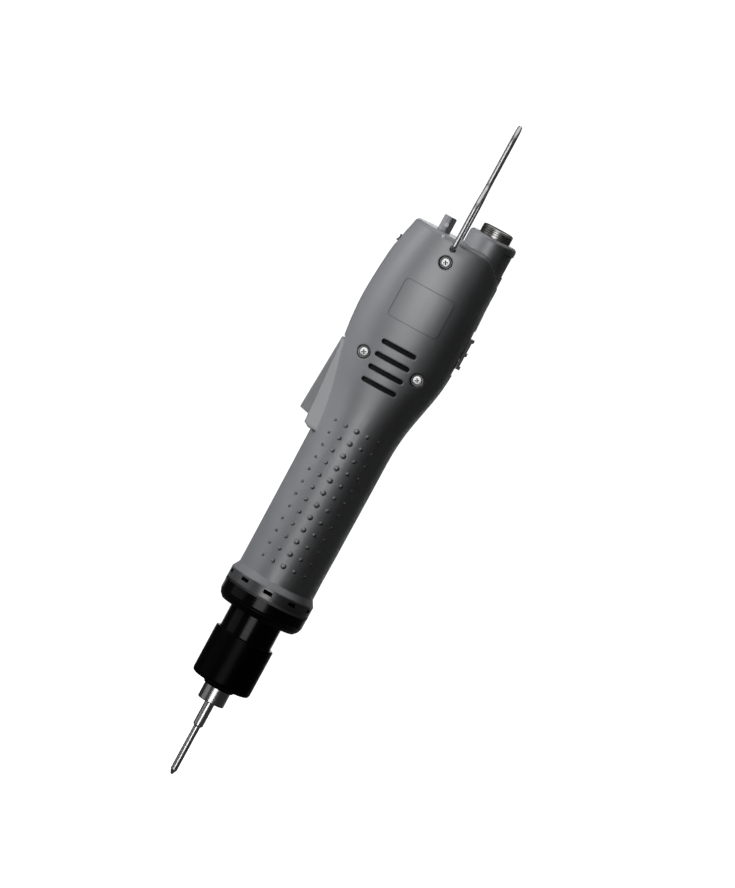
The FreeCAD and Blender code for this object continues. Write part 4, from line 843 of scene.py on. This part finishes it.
def cross_screw():
    """Pan head with a bevelled rim, a cross recess whose inner faces are painted dark as shade, and a shank,
    with its face at Z = 0.
    """
    profile = (
        (0.01, 0.0), (1.95, -0.01), (2.12, -0.06), (2.23, -0.18), (2.28, -0.36), (2.3, -0.6),
        (2.3, -1.45), (1.45, -1.45), (1.45, -6.0), (0.01, -6.3),
    )
    screw = turned_piece("screw", profile, 48)
    for cutter in [recess_arm(turn) for turn in (0.0, 90.0)]:
        use_modifier(screw, "BOOLEAN", object=cutter, operation="DIFFERENCE", solver="EXACT")
        bpy.data.objects.remove(cutter)
    if not screw.data.polygons:
        raise RuntimeError("the cross recess took the whole screw")
    tidy_mesh(screw)
    screw.data.materials.append(turned_steel("screw_plate", (0.31, 0.31, 0.31), 0.28))
    # The faces inside the cross recess get a dark plastic: painted shade in the recess.
    screw.data.materials.append(moulded_plastic("recess_painted_shade", (0.05, 0.05, 0.05), 0.6, 0.5, 0.3))
    for face in screw.data.polygons:
        below_face = -RECESS_DEPTH < face.center.z < -0.03 * MM
        if face.center.xy.length < RECESS_REACH and below_face:
            face.material_index = 1
    return screw


def recess_arm(turn):
    """Cutter of one arm of the cross, narrower below."""
    arm = block("cross_cutter", RECESS_SIZE)
    for vertex in arm.data.vertices:
        if vertex.co.z < 0:
            vertex.co.x *= 0.3
    arm.rotation_euler = (0, 0, radians(turn + 28.5))
    return settle(arm)


class SCREWDRIVER_OT_screw_heads(Operator):
    """Cross-recess screws in their deep holes"""

    bl_idname = "screwdriver.screw_heads"
    bl_label = "Housing screws"

    def execute(self, context):
        pattern = cross_screw()
        screws = []
        for x, z in screw_places():
            beside_recess = Vector((x + 1.9 * MM, -OUTSIDE, z + 0.5 * MM))
            seat, _ = surface_point("housing_screws", beside_recess, INWARDS)
            screws.append(stand_on(copy_of(pattern), Vector((x, seat.y, z)), -INWARDS))
        bpy.data.objects.remove(pattern)
        piece = smooth(join_pieces(screws, "cross_screws"), 30.0)
        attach(piece, "housing")
        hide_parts("housing_screws")
        return {"FINISHED"}


def well_shade_liner():
    """Thin-walled black liner with a rounded mouth, hanging below Z = 0, that paints the shade of a deep
    screw hole.
    """
    profile = (
        (3.29, -0.1), (3.22, -0.04), (3.1, 0.0), (2.98, -0.04), (2.9, -0.2), (2.88, -1.4), (2.88, -2.0),
        (3.29, -2.0), (3.29, -0.1),
    )
    return turned_piece("well_shade_liner", profile, 48)


class SCREWDRIVER_OT_screw_wells(Operator):
    """Black liners in the deep screw holes: painted shade of the holes"""

    bl_idname = "screwdriver.screw_wells"
    bl_label = "Screw hole shades"

    def execute(self, context):
        liners = []
        pattern = well_shade_liner()
        for x, z in screw_places():
            liner = stand_on(copy_of(pattern), Vector((x, 0, z)), -INWARDS)
            for vertex in liner.data.vertices:
                out = Vector((vertex.co.x - x, 0, vertex.co.z - z)).normalized() * LINER_RIM
                start = Vector((x, -OUTSIDE, z)) + out
                vertex.co.y += surface_point("front_housing", start, INWARDS)[0].y
            liners.append(liner)
        bpy.data.objects.remove(pattern)
        piece = smooth(join_pieces(liners, "screw_well_shades"), 30.0)
        # Near-black and almost without gloss: the liners paint the shade that falls in the deep holes.
        black = moulded_plastic("well_painted_shade", (0.0015, 0.0015, 0.0015), 0.85, 0.6, 0.02)
        dress(piece, black, "housing")
        return {"FINISHED"}


def slot_pad():
    """Pad with a row of shallow cells on its outer face, which is at Y = 0 and looks along -Y."""
    pad = block("slot_shade_pad", PAD_SIZE, (0, PAD_SIZE[1] / 2, 0))
    edit(pad, "EDGE")
    bpy.ops.mesh.bevel(offset=0.12 * MM, offset_type="OFFSET", segments=2, affect="EDGES")
    edit_chosen(pad, "FACE", lambda face: face.normal.y < -0.99)
    bpy.ops.mesh.subdivide(number_cuts=4)
    edit_chosen(pad, "FACE", lambda face: face.normal.y < -0.99)
    bpy.ops.mesh.inset(thickness=0.06 * MM, depth=-0.15 * MM, use_individual=True)
    leave_edit()
    return tidy_mesh(pad)


class SCREWDRIVER_OT_slot_shade_pads(Operator):
    """Black pads, a little way inside the slots of the air ring, that paint the shade in the slots"""

    bl_idname = "screwdriver.slot_filters"
    bl_label = "Slot shade pads"

    def execute(self, context):
        pattern = slot_pad()
        pads = []
        for index in range(SLOT_COUNT):
            angle = radians(360.0 / SLOT_COUNT * index - 90.0)
            pad = copy_of(pattern)
            pad.location = outward(angle) * (RING_RADIUS - PAD_BELOW)
            pad.location.z = RING_HIGH.z - SLOT_DROP
            pad.rotation_euler = (0, 0, angle + radians(90.0))
            pads.append(settle(pad))
        bpy.data.objects.remove(pattern)
        piece = smooth(join_pieces(pads, "slot_filters"), 30.0)
        # Near-black pads: painted shade inside the slots.
        black = moulded_plastic("slot_painted_shade", (0.0025, 0.0025, 0.0025), 0.8, 2.0, 0.05)
        dress(piece, black, "housing")
        return {"FINISHED"}


def vent_strip():
    """Round-ended strip along X, cut across so that it can follow a shell whose surface is at Y = 0."""
    thickness = STRIP_SIZE[1]
    strip = block("vent_shade_strip", STRIP_SIZE, (0, STRIP_BELOW + thickness / 2, 0))

    def runs_inwards(edge):
        first, second = ends_of(edge, strip.data)
        return abs(first.y - second.y) > thickness / 2

    edit_chosen(strip, "EDGE", runs_inwards)
    bpy.ops.mesh.bevel(offset=1.145 * MM, offset_type="OFFSET", segments=8, affect="EDGES")
    for place in range(-7, 8, 2):
        bpy.ops.mesh.select_all(action="SELECT")
        bpy.ops.mesh.bisect(plane_co=(place * MM, 0, 0), plane_no=(1, 0, 0))
    leave_edit()
    return tidy_mesh(strip)


class SCREWDRIVER_OT_vent_shade_strips(Operator):
    """Black strips inside the cooling slots of both shells, which paint the shade in the slots"""

    bl_idname = "screwdriver.vent_filters"
    bl_label = "Vent shade strips"

    def execute(self, context):
        pattern = vent_strip()
        for node, side in (("front_housing", -1.0), ("rear_housing", 1.0)):
            strips = []
            for index in range(VENT_COUNT):
                height = VENT_FIRST + index * VENT_PITCH
                strip = copy_of(pattern)
                for vertex in strip.data.vertices:
                    x = vertex.co.x + FACE_MIDDLE
                    start = Vector((x, side * OUTSIDE, height + VENT_LAND))
                    place, _ = surface_point(node, start, Vector((0, -side, 0)))
                    vertex.co = Vector((x, place.y - side * vertex.co.y, height + vertex.co.z))
                strips.append(strip)
            piece = tidy_mesh(join_pieces(strips, "vent_filters_" + node.split("_")[0]))
            smooth(piece, 30.0)
            # Near-black strips: painted shade inside the vents.
            black = moulded_plastic("vent_painted_shade", (0.021, 0.021, 0.0215), 0.8, 3.0, 0.1)
            dress(piece, black, "housing")
        bpy.data.objects.remove(pattern)
        return {"FINISHED"}


class SCREWDRIVER_OT_springs(Operator):
    """Coil springs copied from the CAD springs, merged, smoothed and put on the bodies that hold them"""

    bl_idname = "screwdriver.springs"
    bl_label = "Springs"

    def execute(self, context):
        across, up = (1, 0, 0), (0, 0, 1)
        for node, name, body, joint, axis, anchor, keep in (
            ("clutch_spring", "clutch_coil", "housing", "spring_seat_slide", up, (0, 0, 0.08466), 0.806),
            ("sleeve_spring", "sleeve_coil", "spindle", "bit_sleeve_slide", up, (0, 0, 0.0546), 0.62),
            ("lever_spring", "lever_coil", "housing", "start_lever_press", across, (-0.012, 0, 0.1826), 0.53),
        ):
            coil = copy_of_node(node, name)
            coil.data.name = name
            dress(smooth(coil, 40.0), NODES[node].data.materials[0], body)
            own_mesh(coil)
            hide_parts(node)
        return {"FINISHED"}


def thread_ridge(sizes, core, low, high):
    """Thread ridge, wound from a small triangle whose root lies inside the core."""
    pitch = sizes.thread_pitch / MM
    radius = (THREAD_CREST - core + 0.12) / 1.5
    root_share = 0.47
    ridge = new_piece(
        "thread_ridge", "circle", vertices=3, radius=radius * MM,
        location=((THREAD_CREST - radius) * MM, 0, low * MM), rotation=(radians(90), radians(90), 0),
    )
    ridge.scale = (1.0, pitch * root_share / (radius * 0.866), 1.0)
    settle(ridge)
    for vertex in ridge.data.vertices:
        share = max(-root_share, min(root_share, (vertex.co.z / MM - low) / pitch))
        vertex.co.z = low * MM + share * pitch * MM
    turns = int((high - low) / pitch)
    use_modifier(
        ridge, "SCREW", angle=tau * turns, screw_offset=sizes.thread_pitch * turns,
        steps=72 * turns, render_steps=72 * turns,
    )
    edit(ridge)
    bpy.ops.mesh.fill_holes(sides=3)
    bpy.ops.mesh.select_all(action="SELECT")
    bpy.ops.mesh.normals_make_consistent(inside=False)
    leave_edit()
    return ridge


class SCREWDRIVER_OT_connector(Operator):
    """Nickel-plated connector shell with its outer thread"""

    bl_idname = "screwdriver.connector"
    bl_label = "Connector shell"

    def execute(self, context):
        sizes = context.scene.screwdriver_sizes
        low, high = CONNECTOR_LOW.z / MM, CONNECTOR_HIGH.z / MM
        thread_low = BOSS_TOP / MM + 0.3
        core = THREAD_CREST - sizes.thread_depth / MM
        profile = (
            (6.4, low), (7.7, low), (7.7, high - 8.1), (9.3, high - 8.1), (9.3, high - 6.6),
            (7.45, high - 6.6), (7.45, thread_low), (core, thread_low + 0.05), (core, high - 0.55),
            (core - 0.05, high - 0.35), (7.2, high - 0.06), (7.1, high), (7.0, high - 0.02),
            (6.92, high - 0.12), (6.9, high - 1.4), (6.4, high - 1.5), (6.4, low),
        )
        shell = turned_piece("connector_body", profile, 96)
        ridge = thread_ridge(sizes, core, thread_low + 0.35, high - 0.45)
        piece = join_pieces([shell, ridge], "threaded_connector")
        piece.location = (CONNECTOR_X, 0, 0)
        smooth(settle(piece), 28.0)
        nickel = turned_steel("nickel_plate", (0.36, 0.355, 0.35), 0.34)
        dress(piece, nickel, "housing")
        # The inner wall of the metal mouth gets a black plastic: painted shade in the opening.
        piece.data.materials.append(moulded_plastic("mouth_painted_shade", (0.002, 0.002, 0.002), 0.8, 0.6, 0.05))
        for face in piece.data.polygons:
            out = Vector((face.center.x - CONNECTOR_X, face.center.y, 0))
            inside = out.length < MOUTH_RADIUS and face.normal.dot(out) <= 0
            if inside and face.center.z > CONNECTOR_HIGH.z - MOUTH_DEPTH:
                face.material_index = 1
        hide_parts("connector_shell")
        return {"FINISHED"}


class SCREWDRIVER_OT_setting_dots(Operator):
    """Pale domed dots, one on the dial and one on the housing at the dial's foot"""

    bl_idname = "screwdriver.setting_dots"
    bl_label = "Setting dots"

    def execute(self, context):
        sizes = context.scene.screwdriver_sizes
        # One pale colour for both raised dots.
        paint = pale_dot_look("pale_dots", context.scene.screwdriver_colours.mark)
        low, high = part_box("speed_dial")
        middle = (low.x + high.x) / 2
        for name, node, body, slot, width, x, drop in (
            ("dial_dot", "speed_dial", "speed_dial", "dial_grey", 1.0, middle, 4.2 * MM),
            ("housing_dot", "front_housing", "housing", "housing_grey", 0.8, middle + 1.7 * MM, 8.8 * MM),
        ):
            profile = ((1.0, -0.35), (1.0, 0.02), (0.93, 0.06), (0.75, 0.085), (0.4, 0.1), (0.01, 0.105))
            dot = turned_piece(name, profile, 32, sizes.dot_width / 2 * width)
            place, normal = surface_point(node, Vector((x, -0.03, high.z - drop)), INWARDS)
            stand_on(dot, place, normal)
            dress(smooth(dot, 50.0), paint, body)
        return {"FINISHED"}


def outer_edges(mesh):
    """Numbers of the edges of the split that show on the outside."""
    owners = {}
    for face in mesh.polygons:
        for key in face.edge_keys:
            owners.setdefault(key, []).append(face)
    outer = set()
    for edge in mesh.edges:
        ends = ends_of(edge, mesh)
        on_split = all(abs(end.y) < SPLIT_GAP for end in ends)
        if on_split and is_outer(owners.get(tuple(sorted(edge.vertices)), []), ends):
            outer.add(edge.index)
    return outer


def is_outer(faces, ends):
    """True where a face of the split meets a face that looks away from the tool's middle."""
    if len(faces) != 2:
        return False
    flat = [abs(face.normal.y) > 0.99 and abs(face.center.y) < SPLIT_GAP for face in faces]
    if flat[0] == flat[1]:
        return False
    other = faces[1] if flat[0] else faces[0]
    middle = (ends[0] + ends[1]) / 2
    looks_out = other.normal.x * middle.x > 0.15 * abs(middle.x)
    return looks_out and abs(middle.x) > SHELL_REACH


class SCREWDRIVER_OT_parting_line(Operator):
    """Fine line where the two moulded shells meet"""

    bl_idname = "screwdriver.parting_line"
    bl_label = "Parting line"

    def execute(self, context):
        sizes = context.scene.screwdriver_sizes
        seam = copy_of_node("front_housing", "parting_line")
        outer = outer_edges(seam.data)
        edit_chosen(seam, "EDGE", lambda edge: edge.index not in outer)
        bpy.ops.mesh.delete(type="EDGE")
        bpy.ops.mesh.select_mode(type="VERT")
        bpy.ops.mesh.select_all(action="SELECT")
        bpy.ops.mesh.delete(type="ONLY_FACE")
        bpy.ops.mesh.delete_loose(use_verts=True, use_edges=False, use_faces=False)
        leave_edit()
        take(seam)
        bpy.ops.object.convert(target="CURVE")
        line = bpy.context.object.data
        line.dimensions = "3D"
        line.bevel_depth = sizes.seam_width / 2
        line.bevel_resolution = 1
        line.use_fill_caps = True
        bpy.ops.object.convert(target="MESH")
        seam = smooth(settle(name_piece("parting_line")), 60.0)
        dress(seam, moulded_plastic("seam_dark", (0.03, 0.03, 0.032), 0.6, 0.5), "housing")
        return {"FINISHED"}


def place_camera(context, studio):
    """Long lens at the picture's angle, rolled so that the tool leans."""
    lean = studio.lean
    back = towards_viewer(studio.azimuth, studio.elevation)
    right = outward(studio.azimuth)
    up = back.cross(right)
    picture_right = right * cos(lean) + up * sin(lean)
    picture_up = up * cos(lean) - right * sin(lean)
    data = bpy.data.cameras.new("camera")
    camera = bpy.data.objects.new("camera", data)
    context.scene.collection.objects.link(camera)
    turn = Matrix((picture_right, picture_up, back)).transposed()
    target = Vector((studio.aim_x, 0, studio.aim_z))
    camera.matrix_world = Matrix.Translation(target + back * studio.distance) @ turn.to_4x4()
    data.type = "PERSP"
    data.sensor_width = SENSOR
    data.lens = SENSOR * studio.distance / studio.picture_height
    data.clip_start = 0.05
    data.clip_end = 50.0
    context.scene.camera = camera


def add_light(name, power, size, azimuth, elevation, distance):
    """Rectangular soft light that looks at the upper half of the tool."""
    away = towards_viewer(radians(azimuth), radians(elevation))
    data = bpy.data.lights.new(name, "AREA")
    data.shape = "RECTANGLE"
    data.size, data.size_y = size
    data.energy = power
    lamp = bpy.data.objects.new(name, data)
    bpy.context.scene.collection.objects.link(lamp)
    lamp.location = Vector((0, 0, LIGHT_AIM)) + away * distance
    lamp.rotation_mode = "QUATERNION"
    lamp.rotation_quaternion = (-away).to_track_quat("-Z", "Y")
    return lamp


def fill_room(context, studio):
    """Even room light, seen as white by the camera and in reflections."""
    world = bpy.data.worlds.new("room")
    context.scene.world = world
    finish = Finish(world)
    level = seen_white(finish) * (1.0 - studio.room_level) + studio.room_level
    background = finish.node("ShaderNodeBackground", None, {"Color": grey(1.0), "Strength": level})
    finish.close(background, "ShaderNodeOutputWorld")


def build_walls():
    """Dim walls round the lights, open behind the tool, which metal shows as its dark side."""
    walls = settle(new_piece(
        "studio_walls", "cylinder", vertices=72, radius=2.7, depth=3.4, end_fill_type="NOTHING",
        location=(0, 0, 1.1),
    ))
    behind = radians(170.0)
    edit_chosen(walls, "FACE", lambda face: abs(atan2(face.center.x, -face.center.y)) > behind)
    bpy.ops.mesh.delete(type="FACE")
    leave_edit()
    walls.visible_camera = False
    finish = new_finish("wall_dim")
    finish.close(finish.node("ShaderNodeEmission", None, {"Color": grey(1.0), "Strength": 0.03}))
    walls.data.materials.append(finish.owner)


def lay_floor():
    """Pale floor well below the hanging tool, white to the camera and shaded under the tool."""
    floor = settle(new_piece("studio_floor", "plane", size=60.0, location=(0, 0, -0.16)))
    finish = new_finish("floor_white")
    far = (finish.from_middle() - 0.5).within(0.9)
    behind = (finish.axis("Y") - 1.9).within(0.5)
    camera = finish.node("ShaderNodeLightPath", output="Is Camera Ray")
    seen = camera.math("MAXIMUM", seen_white(finish) * behind)
    dim = finish.node("ShaderNodeBsdfDiffuse", None, {"Color": grey(0.12)})
    pale = finish.node("ShaderNodeBsdfDiffuse", None, {"Color": grey(0.86)})
    glow = finish.node("ShaderNodeEmission", None, {"Color": finish.mix(far, grey(0.84), grey(1.0))})
    both = finish.node("ShaderNodeAddShader", None, {0: pale, 1: glow})
    finish.close(finish.node("ShaderNodeMixShader", None, {0: seen, 1: dim, 2: both}))
    floor.data.materials.append(finish.owner)


class SCREWDRIVER_OT_studio(Operator):
    """Camera, soft lights, room and floor"""

    bl_idname = "screwdriver.studio"
    bl_label = "Studio"

    def execute(self, context):
        studio = context.scene.screwdriver_studio
        place_camera(context, studio)
        for name, power, size, azimuth, elevation, distance, matt in (
            ("key_light", studio.key_power, (0.4, 0.4), -66.0, 12.0, 0.66, True),
            ("strip_light", studio.strip_power, (0.95, 1.3), -4.0, 0.0, 1.9, False),
            ("side_panel", studio.panel_power, (1.5, 1.6), -72.0, 0.0, 1.9, False),
            ("back_light", studio.back_power, (1.0, 1.4), 156.0, 4.0, 2.0, True),
            ("back_panel", studio.panel_power, (0.8, 1.3), 180.0, 0.0, 1.9, False),
        ):
            lamp = add_light(name, power, size, azimuth, elevation, distance)
            lamp.visible_diffuse = matt
            lamp.visible_glossy = not matt
            if name == "key_light":
                lamp.data.spread = radians(KEY_SPREAD)
        fill_room(context, studio)
        build_walls()
        lay_floor()
        return {"FINISHED"}


class SCREWDRIVER_PT_panel(Panel):
    """Lists the steps that dress the screwdriver"""

    bl_idname = "SCREWDRIVER_PT_panel"
    bl_label = "Torque screwdriver"
    bl_space_type = "VIEW_3D"
    bl_region_type = "UI"
    bl_category = "Screwdriver"

    def draw(self, context):
        scene = context.scene
        for step in STEPS:
            self.layout.operator(step.bl_idname)
        for group in (scene.screwdriver_sizes, scene.screwdriver_colours, scene.screwdriver_studio):
            for key in group.__annotations__:
                self.layout.prop(group, key)


STEPS = (
    SCREWDRIVER_OT_studio,
    SCREWDRIVER_OT_housing_finish,
    SCREWDRIVER_OT_nose_finish,
    SCREWDRIVER_OT_steel_finish,
    SCREWDRIVER_OT_inner_finish,
    SCREWDRIVER_OT_grip_bumps,
    SCREWDRIVER_OT_label_outline,
    SCREWDRIVER_OT_screw_heads,
    SCREWDRIVER_OT_screw_wells,
    SCREWDRIVER_OT_slot_shade_pads,
    SCREWDRIVER_OT_vent_shade_strips,
    SCREWDRIVER_OT_springs,
    SCREWDRIVER_OT_connector,
    SCREWDRIVER_OT_setting_dots,
    SCREWDRIVER_OT_parting_line,
)
GROUPS = (ScrewdriverSizes, ScrewdriverColours, StudioSettings)


def register():
    for item in GROUPS + STEPS + (SCREWDRIVER_PT_panel,):
        bpy.utils.register_class(item)
    bpy.types.Scene.screwdriver_sizes = bpy.props.PointerProperty(type=ScrewdriverSizes)
    bpy.types.Scene.screwdriver_colours = bpy.props.PointerProperty(type=ScrewdriverColours)
    bpy.types.Scene.screwdriver_studio = bpy.props.PointerProperty(type=StudioSettings)


def unregister():
    del bpy.types.Scene.screwdriver_studio
    del bpy.types.Scene.screwdriver_colours
    del bpy.types.Scene.screwdriver_sizes
    for item in reversed(GROUPS + STEPS + (SCREWDRIVER_PT_panel,)):
        bpy.utils.unregister_class(item)


def main():
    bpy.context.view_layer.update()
    register()
    bpy.context.scene.view_settings.view_transform = "Standard"
    for step in STEPS:
        group, name = step.bl_idname.split(".")
        getattr(getattr(bpy.ops, group), name)()
    clear_selection()


if __name__ == "__main__":
    main()
